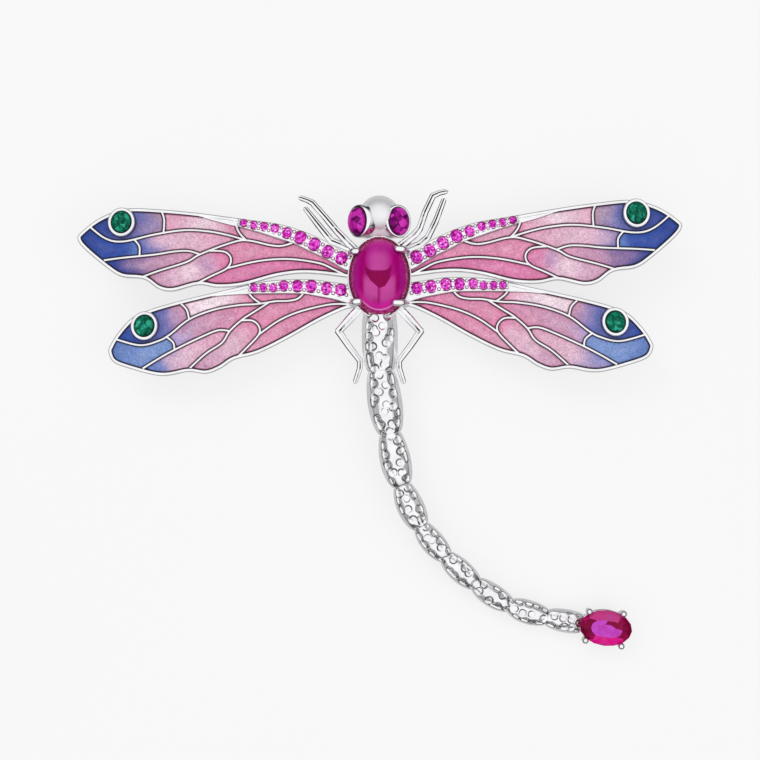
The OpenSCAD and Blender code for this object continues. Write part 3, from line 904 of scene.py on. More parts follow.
def row_maker() -> Maker:
    """Plans one small form at each point, sized and turned by what the point stores.

    Returns:
        The tree.
    """
    tree = Maker("rows", Form=("Object", None), Seed=("Int", 1), Spin=("Float", 0.0), Smooth=("Bool", False))
    form = tree.node("GeometryNodeObjectInfo", None, {"Object": tree.start["Form"]}).outputs["Geometry"]
    angle = tree.math("ADD", tree.chance(tree.start["Spin"]), tree.stored("turn"))
    turn = tree.out("ShaderNodeCombineXYZ", None, {0: 0.0, 1: tree.stored("lean"), 2: angle})
    placed = tree.out("GeometryNodeInstanceOnPoints", None,
                      {"Points": tree.start["Geometry"], "Instance": form, "Rotation": turn,
                       "Scale": tree.stored("size")})
    real = tree.out("GeometryNodeRealizeInstances", None, {0: placed})
    # a random number for each face; the faceted stones' material turns it into painted reflections
    kept = tree.out("GeometryNodeStoreNamedAttribute", {"data_type": "FLOAT", "domain": "FACE"},
                    {"Geometry": real, "Name": "facet", "Value": tree.chance(1.0)})
    return tree.end(kept, tree.start["Smooth"])


def set_row(maker: Maker, name: str, places: np.ndarray, form: Thing, finish: Material, size: Any,
            turn: Any = 0.0, lean: Any = 0.0, seed: int = 1, spin: float = 0.0, smooth: bool = False) -> Thing:
    """Sets one small form at each place, with one size, turn and lean for all or one each."""
    mesh = points_mesh(name, places, size=size, turn=turn, lean=lean)
    return maker.run(mesh, Finish=finish, Form=form, Seed=seed, Spin=spin, Smooth=smooth)


def hammer_maker() -> Maker:
    """Plans dents in a surface where it stores a weight, laid out on its stored skin.

    Returns:
        The tree.
    """
    tree = Maker("hammer", Dent=("Float", 1.1), Depth=("Float", 0.1), Uneven=("Float", 0.75))
    cells = tree.out("ShaderNodeTexVoronoi", {"feature": "F1", "voronoi_dimensions": "2D"},
                     {"Vector": tree.stored("skin", "FLOAT_VECTOR"),
                      "Scale": tree.math("DIVIDE", 1.0, tree.start["Dent"]), "Randomness": tree.start["Uneven"]})
    bowl = tree.out("ShaderNodeMapRange", SOFT, {0: cells, 1: 0.24, 2: 0.5, 3: -1.0, 4: 0.0})
    far = tree.math("MULTIPLY", tree.math("MULTIPLY", bowl, tree.stored("weight")), tree.start["Depth"])
    push = tree.out("ShaderNodeVectorMath", {"operation": "SCALE"},
                    {"Vector": tree.out("GeometryNodeInputNormal"), "Scale": far})
    moved = {"Geometry": tree.start["Geometry"], "Offset": push}
    return tree.end(tree.out("GeometryNodeSetPosition", None, moved))


# ---------------------------------------------------------------- finishes

GEM = {"Coat_Weight": 0.12, "Coat_Roughness": 0.02, "Coat_IOR": 1.35, "Roughness": 0.18,
       "Specular_IOR_Level": 0.04}


@dataclass(frozen=True)
class Silver:
    """Polished silver with the faint unevenness of a cast surface."""

    name: str = "silver"
    tone: str = "#f4f4f5"
    shade: str = "#e8e8ea"
    rough: float = 0.05
    uneven: float = 0.06
    lump: float = 0.8
    depth: float = 0.004
    metal: float = 1.0

    def material(self) -> Material:
        """Makes the material.

        Returns:
            The material.
        """
        shader = Shader(self.name, Metallic=self.metal)
        tone = shader.blend(paint(self.shade), paint(self.tone), shader.noise(self.lump * 2.2).step(0.25, 0.7))
        return shader.put(Base_Color=tone, Roughness=shader.noise(0.12) * self.uneven + self.rough,
                          Normal=shader.bump(shader.noise(self.lump), 0.5, self.depth))


@dataclass(frozen=True)
class Enamel:
    """Pearly fired enamel: painted colours under clear glass, darker where it meets the wires, partly for the
    thicker enamel there and partly as painted shade.
    """

    name: str = "enamel"
    # the colour of the painted shade along the wires
    deep: str = "#52243f"
    fibre: float = 0.22
    flake: float = 0.1
    swirl: float = 0.55
    cloud: float = 1.4
    edge: float = 0.24

    def material(self) -> Material:
        """Makes the material.

        Returns:
            The material.
        """
        shader = Shader(self.name, Coat_Weight=0.3, Coat_Roughness=0.06, Coat_IOR=1.3, Specular_IOR_Level=0.15)
        fibres = shader.noise(self.fibre, 4, wave=2.2)
        light = fibres.step(0.28, 0.74, 0.78, 1.18) * shader.noise(self.flake).step(0.3, 0.7, 0.9, 1.1)
        light = light * shader.noise(self.swirl, 5, wave=3.4).step(0.34, 0.64, 0.8, 1.13)
        light = light * shader.noise(self.cloud, 3, wave=1.5).step(0.3, 0.7, 0.92, 1.06)
        colour = shader.scaled(shader.attribute("paint", "Color"), light)
        # painted shade: darker near each cell's edge, along the wires
        deep = shader.blend(colour, paint(self.deep), 1.0, "MULTIPLY")
        colour = shader.blend(deep, colour, shader.attribute("edge").step(0.03, self.edge))
        return shader.put(Base_Color=colour, Roughness=fibres.step(0.2, 0.8, 0.42, 0.26),
                          Normal=shader.bump(fibres, 0.35, 0.012))


@dataclass(frozen=True)
class Faceted:
    """A faceted stone whose facets each get a random lightness: painted reflections and glints."""

    name: str
    stops: Sequence[tuple[float, str]]
    mottle: float
    cloudy: float = 0.2

    def material(self) -> Material:
        """Makes the material.

        Returns:
            The material.
        """
        shader = Shader(self.name, **GEM)
        inner = shader.noise(self.mottle, 1).step(0.3, 0.7, 0.0, self.cloudy)
        # painted reflections and glints: each facet's random number, mixed with the stone's own cloud
        light = shader.attribute("facet") * (1 - self.cloudy) + inner
        return shader.put(Base_Color=shader.ramp(light, self.stops))


@dataclass(frozen=True)
class Domed:
    """A domed stone: light and dark clouds, partly its own mottling and partly painted facet reflections, darker
    towards its girdle with painted shade.
    """

    name: str
    dark: str
    body: str
    light: str
    rim: str
    lump: float
    angular: float
    edge: tuple[float, float] = (0.08, 0.5)

    def material(self) -> Material:
        """Makes the material.

        Returns:
            The material.
        """
        shader = Shader(self.name, **GEM)
        cloud = shader.noise(self.lump, wave=0.6)
        colour = shader.ramp(cloud, [(0.3, self.dark), (0.5, self.body), (0.72, self.light)])
        # angular cells: painted facet reflections
        cells = shader.cells(self.lump * 1.6)
        flat = shader.ramp(cells, [(0.15, self.dark), (0.6, self.body), (1.0, self.light)])
        colour = shader.blend(colour, flat, self.angular)
        # painted shade: darker towards the girdle
        colour = shader.blend(paint(self.rim), colour, shader.attribute("crown").step(*self.edge))
        return shader.put(Base_Color=colour)


@dataclass(frozen=True)
class Ruby:
    """The thorax stone: deep magenta, with painted reflections, a dark wine heart and paler patches, and painted
    highlights along its lower edge.
    """

    name: str = "ruby_dome"
    heart: Sequence[tuple[float, float]] = (
        (-1.72, 1.33), (-1.53, 0.27), (-1.01, -0.55), (-0.04, -1.43), (0.62, -1.18), (1.12, -0.42), (1.46, 1.14))

    @staticmethod
    def beyond(x: Level, y: Level, a: tuple[float, float], b: tuple[float, float]) -> Level:
        """How far a place lies to the left of a line from a to b, in millimetres."""
        long = math.hypot(b[0] - a[0], b[1] - a[1])
        return (y - a[1]) * ((b[0] - a[0]) / long) - (x - a[0]) * ((b[1] - a[1]) / long)

    def material(self) -> Material:
        """Makes the material.

        Returns:
            The material.
        """
        shader = Shader(self.name, **{**GEM, "Coat_IOR": 1.3, "Roughness": 0.2})
        x, y, z = shader.split(shader.about(HEART * MM))
        x, y = x / MM, y / MM
        across = abs(x)
        girdle = x * x / (SIZES.thorax_w / 2) ** 2 + y * y / (SIZES.thorax_l / 2) ** 2
        colour = shader.blend(paint("#a2046c"), paint("#ac1484"), abs(across - 1.9).step(0.1, 0.7))
        # a painted reflection lightens the top end
        colour = shader.blend(colour, paint("#cc3a9e"), y.step(2.7, 4.1) * 0.75)
        # the lighter area over the upper half: a painted reflection
        arch = ((x + 0.15) / 1.55) ** 4 + ((y - 1.98) / 1.42) ** 2
        top_reflection = arch.fade(0.8, 1.1) * (1 - y.step(2.0, 3.4) * 0.8) * (1 - abs(x + 0.1).step(0.5, 1.5) * 0.85)
        colour = shader.blend(colour, paint("#bb4494"), top_reflection * 0.95)
        # paler patches below, on both sides of a line: painted reflections, with painted shade along the line and
        # beside it
        lines = [self.beyond(x, y, a, b) for a, b in zip(self.heart[:-1], self.heart[1:])]
        below = lines[2].least(lines[3], lines[1], lines[4])
        under = below.fade(-0.06, 0.03)
        panel_reflections = under * abs(across - 0.95).fade(0.6, 1.1) * y.step(-3.8, -2.2) * y.fade(-0.7, 0.5)
        colour = shader.blend(colour, paint("#c24a98"), panel_reflections * 0.9)
        line = abs(x + 0.12).fade(0.03, 0.16) * under
        shadow = abs(x + 0.45).fade(0.15, 0.5) * y.fade(-3.0, -2.0)
        colour = shader.blend(colour, paint("#9c0462"), line * 0.75 + shadow * 0.4)
        # the dark heart, below the lighter upper area: a painted reflection
        dark_reflection = lines[0].least(lines[5], below).step(-0.05, 0.04)
        colour = shader.blend(colour, paint("#87004a"), dark_reflection * arch.step(0.92, 1.06) * y.fade(0.8, 1.6))
        # painted highlights: a bright crescent along the lower edge with a light line; then red light in the teeth
        # at the girdle
        low = girdle.step(0.42, 0.62) * girdle.fade(0.72, 0.78) * y.fade(-2.6, -1.0) * 0.85
        colour = shader.blend(colour, paint("#d6269e"), low)
        pale_highlight = abs(girdle - 0.76).fade(0.01, 0.05) * y.fade(-3.0, -2.2)
        colour = shader.blend(colour, paint("#fba0d8"), pale_highlight * 0.7)
        spots = shader.noise(0.2, 1, shader.about(HEART * MM, (1, 1, 0.1))).step(0.44, 0.64)
        high = z / MM - SIZES.girdle_z
        red = high.fade(0.6, 1.5) * (1 - x.step(-3.2, 1.2, 0.45, 0.0) * abs(y).fade(1.6, 3.2))
        colour = shader.blend(colour, shader.blend(paint("#94104a"), paint("#dc5c9a"), spots), red * 0.9)
        return shader.put(Base_Color=shader.scaled(colour, shader.noise(1.5).step(0.3, 0.7, 0.95, 1.06)))


@dataclass(frozen=True)
class SeatShade:
    """Painted shade down in the seats between the stones: dark wine with painted pink reflections, on a partly
    metallic finish.
    """

    name: str = "recess"
    dark: str = "#4a0e2c"
    light: str = "#a03464"

    def material(self) -> Material:
        """Makes the material.

        Returns:
            The material.
        """
        shader = Shader(self.name, Metallic=0.3)
        fine = shader.noise(0.1)
        tone = shader.blend(paint(self.dark), paint(self.light), fine)
        return shader.put(Base_Color=tone, Roughness=fine * 0.2 + 0.35)


class Finishes:
    """All the finishes, each made once."""

    def __init__(self) -> None:
        """Makes the materials."""
        self.silver = Silver().material()
        self.cast = Silver("silver_cast", rough=0.07, uneven=0.1, lump=0.5, depth=0.006).material()
        self.satin = Silver("silver_satin", tone="#f0f0f1", rough=0.42, uneven=0.08, lump=1.2, depth=0.003,
                            metal=0.55).material()
        self.tail = Silver("silver_hammered", rough=0.2, uneven=0.05, lump=0.6).material()
        self.enamel = Enamel().material()
        self.recess = SeatShade().material()
        # the cut stones' ramps: dark to light by facet, painted reflections and glints
        self.pave = Faceted("pink_pave", [(0.0, "#74066c"), (0.3, "#b4129a"), (0.55, "#dc30c4"), (0.82, "#f277e2"),
                                          (1.0, "#ffdcf8")], 0.25).material()
        self.drop = Faceted("ruby_cut", [(0.0, "#64002a"), (0.25, "#8e0a42"), (0.42, "#d61080"), (0.5, "#e0188e"),
                                         (0.6, "#c03a80"), (0.7, "#b8407c"), (0.82, "#b83aae"), (1.0, "#c650ca")],
                            0.5, 0.12).material()
        self.green = Domed("emerald", "#003a2b", "#037056", "#3cbc9c", "#012219", 0.36, 0.6, (0.3, 0.6)).material()
        self.eye = Domed("eye_ruby", "#470040", "#9c0888", "#ee46cc", "#26001f", 0.46, 0.75).material()
        self.ruby = Ruby().material()


# ---------------------------------------------------------------- wings


class Tint(Enum):
    """The enamel's paints."""

    WINE = "#cf6499"
    ROSE = "#da7aa8"
    BLOSSOM = "#db88ac"
    PETAL = "#dd9fbb"
    PEARL = "#dfb4ca"
    # SHINE and GLEAM: pale tints for painted sheen on the enamel
    SHINE = "#ecd0dd"
    GLEAM = "#f8e6ee"
    MIST = "#ae8fa8"
    DUSK = "#c792b1"
    MAUVE = "#b183b4"
    LILAC = "#ae9ccb"
    VIOLET = "#646bb0"
    HAZE = "#7894cc"
    SKY = "#5c7cbe"
    ROYAL = "#2a4ca2"
    NAVY = "#213f90"


@dataclass(frozen=True)
class Cell:
    """How one cell is painted, places in hundredths of the wing's length.

    Args:
        at: A place in the cell.
        inner: Its paint towards the body.
        middle: Its paint in the middle.
        outer: Its paint towards the wing's tip.
        turn: Share of its length where the middle paint is.
        spots: Patches of another paint: place, radius and paint.
    """

    at: tuple[float, float]
    inner: Tint
    middle: Tint
    outer: Tint
    turn: float = 0.5
    spots: Sequence[tuple[tuple[float, float], float, Tint]] = ()


@dataclass(frozen=True)
class WingTable:
    """One pair of wings, in hundredths of their length, out from the root and forward of it."""

    length: float
    root: tuple[float, float]
    back: float
    outline: Rows
    wires: Sequence[Rows]
    ledge: Rows
    stones: Rows
    dot: tuple[float, float]
    left: tuple[float, float, float, float]
    cells: Sequence[Cell]


FORE = WingTable(
    34.5, (0.07 * SIZES.thorax_w, 0.096 * SIZES.thorax_l), SIZES.back_z,
    [[4.2, 2.7], [9.5, 5.8], [13.8, 8.7], [18.8, 11.5], [25.5, 14.3], [32.2, 16.3], [43.8, 18.2],
     [58.8, 20.7], [72.2, 22.5], [83.5, 23.3], [92.2, 20.8], [98.6, 16.6], [100, 14.2],
     [97.5, 10.5], [89.5, 3.5], [84.5, 0.4], [77.2, -0.8], [72.2, -4.3], [67.2, -5.3],
     [58.8, -3.6], [52.2, -4.7], [43.8, -4.3], [32.2, -1.5], [22.2, -0.7], [9.5, -2.2], [4.2, -3.3]],
    [[[71.5, 22.4], [70.3, 19], [70.5, 14.6]],
     [[42.8, 10.9], [48.8, 12.8], [55.5, 14.3], [63.8, 15], [73.8, 14], [84.2, 12.3], [90.5, 13.8], [97.2, 19.4]],
     [[80.4, 12.7], [78.7, 10.3], [78.7, 7]],
     [[58.2, 6.7], [62.2, 8], [67.2, 8], [73.8, 7.3], [85.5, 6.8], [94.5, 6.1]],
     [[26, 10.2], [30.5, 8.8], [34.5, 9], [42.8, 10.9], [48.8, 9.9], [58.2, 6.7], [62.8, 4.3], [72.2, 1.8],
      [78.6, -0.2]],
     [[46.8, 18], [45.2, 13.7], [42.8, 10.9]],
     [[55, 7.8], [49.8, 7.2], [47.8, 4.7], [49.2, 1.7], [54.8, -0.9], [61.8, -4.2]],
     [[4.5, -3.2], [9.5, -1.5], [13.8, 0.6], [18.8, 2.8], [28.8, 4.3], [38.8, 3.8], [49.2, 1.7]]],
    [[2, -1.2], [9.5, 0.2], [13.8, 2.7], [18, 5], [22.2, 7], [26.5, 9.2], [32.2, 11.2], [38.8, 13.5],
     [46.8, 15.9], [50.8, 17], [55.5, 18.5], [60, 20]],
    [[11.3, 4.3, 1], [15.8, 6.5, 1], [20.2, 9, 1], [24.8, 11.3, 1], [29.2, 12.9, 0.85], [33.2, 14.4, 0.74],
     [36.8, 15.2, 0.66], [40.2, 15.8, 0.62], [43.5, 16.6, 0.55]],
    (84.6, 18.6), (0.3, 3.8, 3.6, 3.8),
    [Cell((37, 11.2), Tint.BLOSSOM, Tint.PETAL, Tint.PETAL),
     Cell((58, 17), Tint.BLOSSOM, Tint.SHINE, Tint.PETAL),
     Cell((76, 17), Tint.MIST, Tint.VIOLET, Tint.NAVY, 0.42, (((88, 17.5), 9, Tint.NAVY),)),
     Cell((88, 9.5), Tint.SKY, Tint.ROYAL, Tint.NAVY, 0.3),
     Cell((64, 11.5), Tint.PETAL, Tint.PEARL, Tint.VIOLET, 0.7),
     Cell((80, 3.5), Tint.PETAL, Tint.DUSK, Tint.NAVY, 0.33, (((88, 3.5), 15, Tint.NAVY),)),
     Cell((60, 1.5), Tint.ROSE, Tint.PEARL, Tint.DUSK, 0.5,
          (((56.5, 3.4), 4.5, Tint.MAUVE), ((62, 1.3), 5.5, Tint.SHINE))),
     Cell((38, 6.5), Tint.ROSE, Tint.BLOSSOM, Tint.BLOSSOM, 0.42),
     Cell((40, 0.5), Tint.WINE, Tint.ROSE, Tint.ROSE, 0.45)])

HIND = WingTable(
    31.1, (0.097 * SIZES.thorax_w, -0.167 * SIZES.thorax_l), SIZES.back_z - SIZES.hind_drop,
    [[4.8, 1.9], [10, 3.1], [16.7, 4.1], [23, 4.9], [31.5, 4.9], [38.9, 4.4], [46.3, 3], [53.7, 1.4],
     [64.8, -1], [75.9, -3.6], [84.1, -5.9], [90.7, -8.7], [96.3, -14.3], [99.3, -18.9],
     [100, -21.5], [97.8, -25.4], [90.7, -28.1], [81.5, -30.5], [75.9, -30.6], [68.9, -29.4],
     [62.2, -30.2], [56.7, -28.3], [51.5, -25.1], [42.6, -22.8], [31.5, -17.4], [20.4, -11.1],
     [11.1, -6.7], [4.8, -4.8]],
    [[[73.6, -2.6], [69.8, -5.9], [68.7, -9.8]],
     [[25, 0.6], [27.8, -2.3], [31.5, -3.2], [35.9, -3.3], [40, -3.9], [44, -4.4], [50, -4.7], [59.3, -6.3],
      [68.7, -9.8], [75.9, -15.2], [80.4, -17.6], [87.8, -19.1], [98.2, -16.3]],
     [[77.6, -16], [74.8, -18.3], [74.3, -21.1]],
     [[53.3, -14.3], [57.8, -14], [64.8, -16.7], [74.4, -21.1], [80.7, -24.4], [88.6, -29]],
     [[38.4, -3.55], [40.6, -5], [44.1, -7.2], [48.5, -10], [53.3, -14.3], [56.3, -18.7], [62.6, -22.8],
      [70.2, -29.6]],
     [[47.4, 1.6], [45, -1.7], [41.9, -4]],
     [[48.9, -10.4], [44.8, -10.5], [42.4, -12.6], [42.4, -15.7], [47, -20.7], [52.2, -25.7]],
     [[6.3, -4.8], [13, -4.4], [18.5, -5], [27.8, -7.4], [35.2, -10.7], [42.4, -15.7]]],
    [[4.8, -5.6], [10, -4.1], [14.8, -2.7], [20.4, -1.6], [25.9, -0.7], [35.2, -0.5], [47, -0.6],
     [53.7, -0.8], [60, -1.4]],
    [[12.2, 0.6, 0.98], [17.4, 1.3, 0.96], [23, 2.1, 0.96], [28.1, 2.2, 0.9], [33.1, 2.3, 0.8],
     [37, 1.7, 0.66], [40.7, 1.7, 0.64], [44.1, 1.7, 0.6]],
    (85.7, -12), (0.7, 1.1, 4, 5),
    [Cell((37, -2), Tint.ROSE, Tint.BLOSSOM, Tint.BLOSSOM),
     Cell((58, -3.5), Tint.BLOSSOM, Tint.SHINE, Tint.SHINE, 0.5, (((61, -4.5), 9, Tint.GLEAM),)),
     Cell((75, -9), Tint.DUSK, Tint.VIOLET, Tint.ROYAL, 0.38, (((89, -13.5), 9, Tint.NAVY),)),
     Cell((86, -23), Tint.HAZE, Tint.HAZE, Tint.SKY, 0.45),
     Cell((62, -11.5), Tint.BLOSSOM, Tint.DUSK, Tint.LILAC, 0.74),
     Cell((66, -20.5), Tint.PETAL, Tint.PEARL, Tint.SKY, 0.5),
     Cell((54, -22), Tint.BLOSSOM, Tint.PEARL, Tint.DUSK, 0.45),
     Cell((38, -8), Tint.ROSE, Tint.BLOSSOM, Tint.BLOSSOM, 0.4),
     Cell((35, -14.5), Tint.ROSE, Tint.BLOSSOM, Tint.PETAL, 0.45)])


class Side(Enum):
    """Which side of the body a wing is on."""

    RIGHT = 1
    LEFT = -1


@dataclass
class Wing:
    """One wing: its silver, enamel, small stones and green stone."""

    pair: str
    table: WingTable
    side: Side
    finishes: Finishes
    pitch: float = 0.2
    lap: float = 0.05
    smallest: int = 6
    meniscus: float = 0.1
    climb: float = 0.14
    enamel_z: float = 0.03
    sink: float = 0.11
    # the pale colour of the painted sheen in the middle of the cells
    pearl: str = "#f2dfe8"
    strip_start: float = 8.6
    strip_foot: float = 0.3
    strip_round: float = 0.12
    strip_curve: Rows = ((0, 1), (0.1, 0.6), (0.35, 0.25), (0.8, 0))
    wire_h: float = 0.44
    spin: float = 0.8
    bead_d: float = 0.56
    past: tuple[float, float] = (0.85, 0.95)

    @property
    def name(self) -> str:
        """Ending that its nodes and pieces share."""
        return f"{self.pair}_{self.side.name.lower()}"

    def on(self, rows: Rows) -> np.ndarray:
        """Places table rows on the wing's own flat.

        Args:
            rows: Rows that start with a place in hundredths of the wing's length.

        Returns:
            The places in millimetres from the root.
        """
        q = np.array([r[:2] for r in rows], float)
        if self.side is Side.LEFT:
            down, swept, out, drawn = self.table.left
            q = np.stack([q[:, 0] * (1 + (out - drawn * q[:, 0] / 100) / 100),
                          q[:, 1] - down - swept * (q[:, 0] / 100) ** 2], 1)
        return q * self.table.length / 100

    def place(self, points: np.ndarray) -> np.ndarray:
        """Moves points from the wing's flat to their place on the brooch.

        Args:
            points: Points on the flat, heights from the wing's back.

        Returns:
            The points from the thorax stone's middle.
        """
        rise = math.radians(SIZES.wing_rise)
        x, y, z = np.asarray(points, float).T
        out = x * math.cos(rise) - z * math.sin(rise) + self.table.root[0]
        up = x * math.sin(rise) + z * math.cos(rise) + self.table.back
        return np.stack([out * self.side.value, y + self.table.root[1], up], 1)

    def outline(self) -> np.ndarray:
        """The wing's outline, clockwise."""
        return smooth(self.on(self.table.outline), 5, True)

    def dot(self, grow: float, sides: int = 48) -> np.ndarray:
        """The green stone's oval, larger by grow."""
        flat = ellipse(SIZES.dot_w / 2 + grow, SIZES.dot_l / 2 + grow, sides)
        return turned(flat, SIZES.dot_turn) + self.on([self.table.dot])[0]

    def stones(self) -> tuple[np.ndarray, np.ndarray]:
        """Places of the small stones on the flat, and their diameters."""
        return self.on(self.table.stones), np.array([r[2] for r in self.table.stones]) * SIZES.pave_d

    def ledge_loop(self) -> np.ndarray:
        """The area in front of the enamel, closed off ahead of the wing."""
        edge, span = smooth(self.on(self.table.ledge), 4) + [0, self.lap], self.table.length
        return np.vstack([edge, [[edge[-1, 0] + 0.02 * span, 0.3 * span], [0, 0.3 * span]]])

    def bands(self) -> list[np.ndarray]:
        """Outlines the wires, narrower by the lap of the enamel under them.

        Returns:
            A closed outline for each.
        """
        out = []
        for row in self.table.wires:
            path = smooth(self.on(row), 5)
            t = headings(path)
            aside = np.stack([-t[:, 1], t[:, 0]], 1) * (SIZES.wire_w / 2 - self.lap)
            out.append(np.vstack([path + aside, (path - aside)[::-1]]))
        return out

    def triangles(self) -> tuple[np.ndarray, np.ndarray, np.ndarray]:
        """Cuts the wing's face into triangles along every edge.

        Returns:
            The corners, the triangles that are enamel, and those that are flat silver.
        """
        border = inset(self.outline(), SIZES.rim_w - self.lap)
        ledge, dot = self.ledge_loop(), self.dot(SIZES.bezel_w - self.lap)
        cup = ellipse(SIZES.cup_a, SIZES.cup_b, 64) - np.array(self.table.root)
        loops = [border, ledge, dot, cup, *self.bands()]
        starts = np.concatenate(loops)
        ends = np.concatenate([np.roll(loop, -1, 0) for loop in loops])
        low, high = border.min(0), border.max(0)
        x, y = np.meshgrid(np.arange(low[0], high[0], self.pitch), np.arange(low[1], high[1], self.pitch * 0.87))
        x[1::2] += self.pitch / 2
        spread = np.stack([x.ravel(), y.ravel()], 1)
        spread = spread[inside(spread, border)]
        spread = spread[reach(spread, starts, ends) > self.pitch * 0.4]
        lines, first = [], 0
        for loop in loops:
            n = len(loop)
            lines += [(first + i, first + (i + 1) % n) for i in range(n)]
            first += n
        made = delaunay_2d_cdt([Vector(c) for c in np.vstack([starts, spread])], lines, [], 0, 1e-6)
        points, faces = np.array([tuple(v) for v in made[0]]), np.array([tuple(f) for f in made[2]])
        middle = points[faces].mean(1)
        on_wing = inside(middle, border)
        held = inside(middle, ledge) | inside(middle, cup)
        taken = held | inside(middle, dot)
        for band in loops[4:]:
            taken |= inside(middle, band)
        return points, faces[on_wing & ~taken], faces[on_wing & held]

    def enamel(self) -> Thing:
        """Makes the enamel of all cells: a closed shell for each, painted along its length.

        Returns:
            The piece.
        """
        points, faces, _ = self.triangles()
        patch, middles = patches(faces), points[faces].mean(1)
        marks = self.on([c.at for c in self.table.cells])
        form, tints, edges = Form(), [], []
        for label in np.unique(patch):
            own = faces[patch == label]
            if len(own) < self.smallest:
                continue
            used, flat = np.unique(own, return_inverse=True)
            tri, q = flat.reshape(-1, 3), points[used]
            rims = rim_of(tri)
            deep = reach(q, q[rims[:, 0]], q[rims[:, 1]])
            far = [np.linalg.norm(middles[patch == label] - mark, axis=1).min() for mark in marks]
            rise = self.meniscus * np.exp(-deep / self.climb) - 0.02 * np.exp(-((deep - 0.6) / 0.5) ** 2)
            form.slab(tri, self.place(raised(q, SIZES.wing_t - self.sink + rise)),
                      self.place(raised(q, SIZES.cell_z + self.enamel_z)))
            tints += [self.colour(q, deep, self.table.cells[int(np.argmin(far))])] * 2
            edges += [deep, deep]
        form.stored = {"paint": np.concatenate(tints), "edge": np.concatenate(edges)}
        return form.piece(f"enamel_face_{self.name}", 50, self.finishes.enamel)

    def colour(self, q: np.ndarray, deep: np.ndarray, cell: Cell) -> np.ndarray:
        """Paints one cell.

        Args:
            q: Its corners on the wing's flat.
            deep: How far each lies from the cell's edge.
            cell: Its paints.

        Returns:
            A colour for each corner.
        """
        centre, side = q.mean(0), self.side.value
        axes = np.linalg.svd(q - centre, full_matrices=False)[2]
        along = (q - centre) @ (axes[0] * (1 if axes[0][0] > 0 else -1))
        along = (along - along.min()) / max(np.ptp(along), 1e-9)
        drift = np.array([noise.noise(Vector((x * 0.45, y * 0.6, side * 3.1 + self.table.length))) for x, y in q])
        spots = np.array([noise.noise(Vector((x * 1.1, y * 1.3, 7.7 + side))) for x, y in q])
        along = np.clip(along + 0.16 * drift, 0, 1)
        inner, middle, outer = (np.array(paint(t.value)) for t in (cell.inner, cell.middle, cell.outer))
        colour = between(inner, middle, ease(along / cell.turn))
        colour = between(colour, outer, ease((along - cell.turn) / (1 - cell.turn)))
        for place, radius, tint in cell.spots:
            far = np.linalg.norm(q - self.on([place])[0], axis=1) / (radius * self.table.length / 100)
            colour = between(colour, np.array(paint(tint.value)), 0.75 * ease(1 - far + 0.3 * drift))
        # painted sheen: a pale pearly glow towards the middle of each cell, away from the wires, in blotches
        warm = 0.2 + 0.8 * colour[:, 0] / colour[:, :3].max(1)
        glow = 0.2 * ease(deep / 1.1) * (0.6 + 0.8 * spots) * warm
        return between(colour, np.array(paint(self.pearl)) * colour.max(1, keepdims=True) ** 0.5, glow)

    def plate(self) -> Thing:
        """Makes the silver behind and in front of the enamel: the back plate and the stones' strip.

        Returns:
            The piece.
        """
        outline = self.outline()
        form = Form().grid([raised(inset(outline, 0.1), z) for z in (0.02, SIZES.cell_z)])
        points, _, own = self.triangles()
        used, tri = np.unique(own, return_inverse=True)
        face = points[used]
        form.slab(tri.reshape(-1, 3), raised(face, SIZES.wing_t - 0.015), raised(face, SIZES.cell_z))
        # the raised strip, from the thorax to just past the last stone
        flat, wide = self.stones()
        x = np.linspace(self.strip_start * self.table.length / 100, flat[-1, 0] + 0.75 * wide[-1], 60)
        ahead = np.interp(x, *outline[: int(np.argmax(outline[:, 0])) + 1].T) - 0.08
        behind = np.interp(x, *smooth(self.on(self.table.ledge), 4).T)
        drop = np.clip((x - x[-6]) / (x[-1] - x[-6]), 0, 1)
        top = SIZES.wing_t + SIZES.ledge_h * np.sqrt(1 - drop**2 * 0.98)
        foot, curve = SIZES.wing_t - self.strip_foot, self.strip_round * np.array(self.strip_curve)
        rows = []
        for u, a, b, z in zip(x, behind, ahead, top):
            row = [(a, foot), *((a + i, z - j) for i, j in curve), ((a + b) / 2, z + 0.012),
                   *((b - i, z - j) for i, j in curve[::-1]), (b, foot)]
            rows.append(np.array([(u, *p) for p in row]))
        return form.grid(rows).move(self.place).piece(f"wing_plate_{self.name}", 40, self.finishes.cast)

    def rims(self) -> Thing:
        """Makes the rim round the wing and the green stone's rubbed-over setting.

        Returns:
            The piece.
        """
        half = (SIZES.rim_w / 2, SIZES.wing_t / 2)
        path = raised(inset(self.outline(), half[0]), half[1])
        form = Form().sweep(path, half, ellipse(1, 1, 20, 3.2), closed=True)
        w, top = SIZES.bezel_w, SIZES.wing_t + SIZES.bezel_h
        form.grid([raised(self.dot(grow, 64), z) for grow, z in (
            (w, 0.6), (w, top - 0.3), (w - 0.02, top - 0.12), (w - 0.06, top - 0.03), (w - 0.12, top),
            (0.02, top + 0.01), (-0.05, top - 0.01), (-0.09, top - 0.06), (-0.09, top - 0.2), (0.0, top - 0.4),
            (0.0, 0.6))], along=True)
        return form.move(self.place).piece(f"wing_rim_{self.name}", 45, self.finishes.silver)

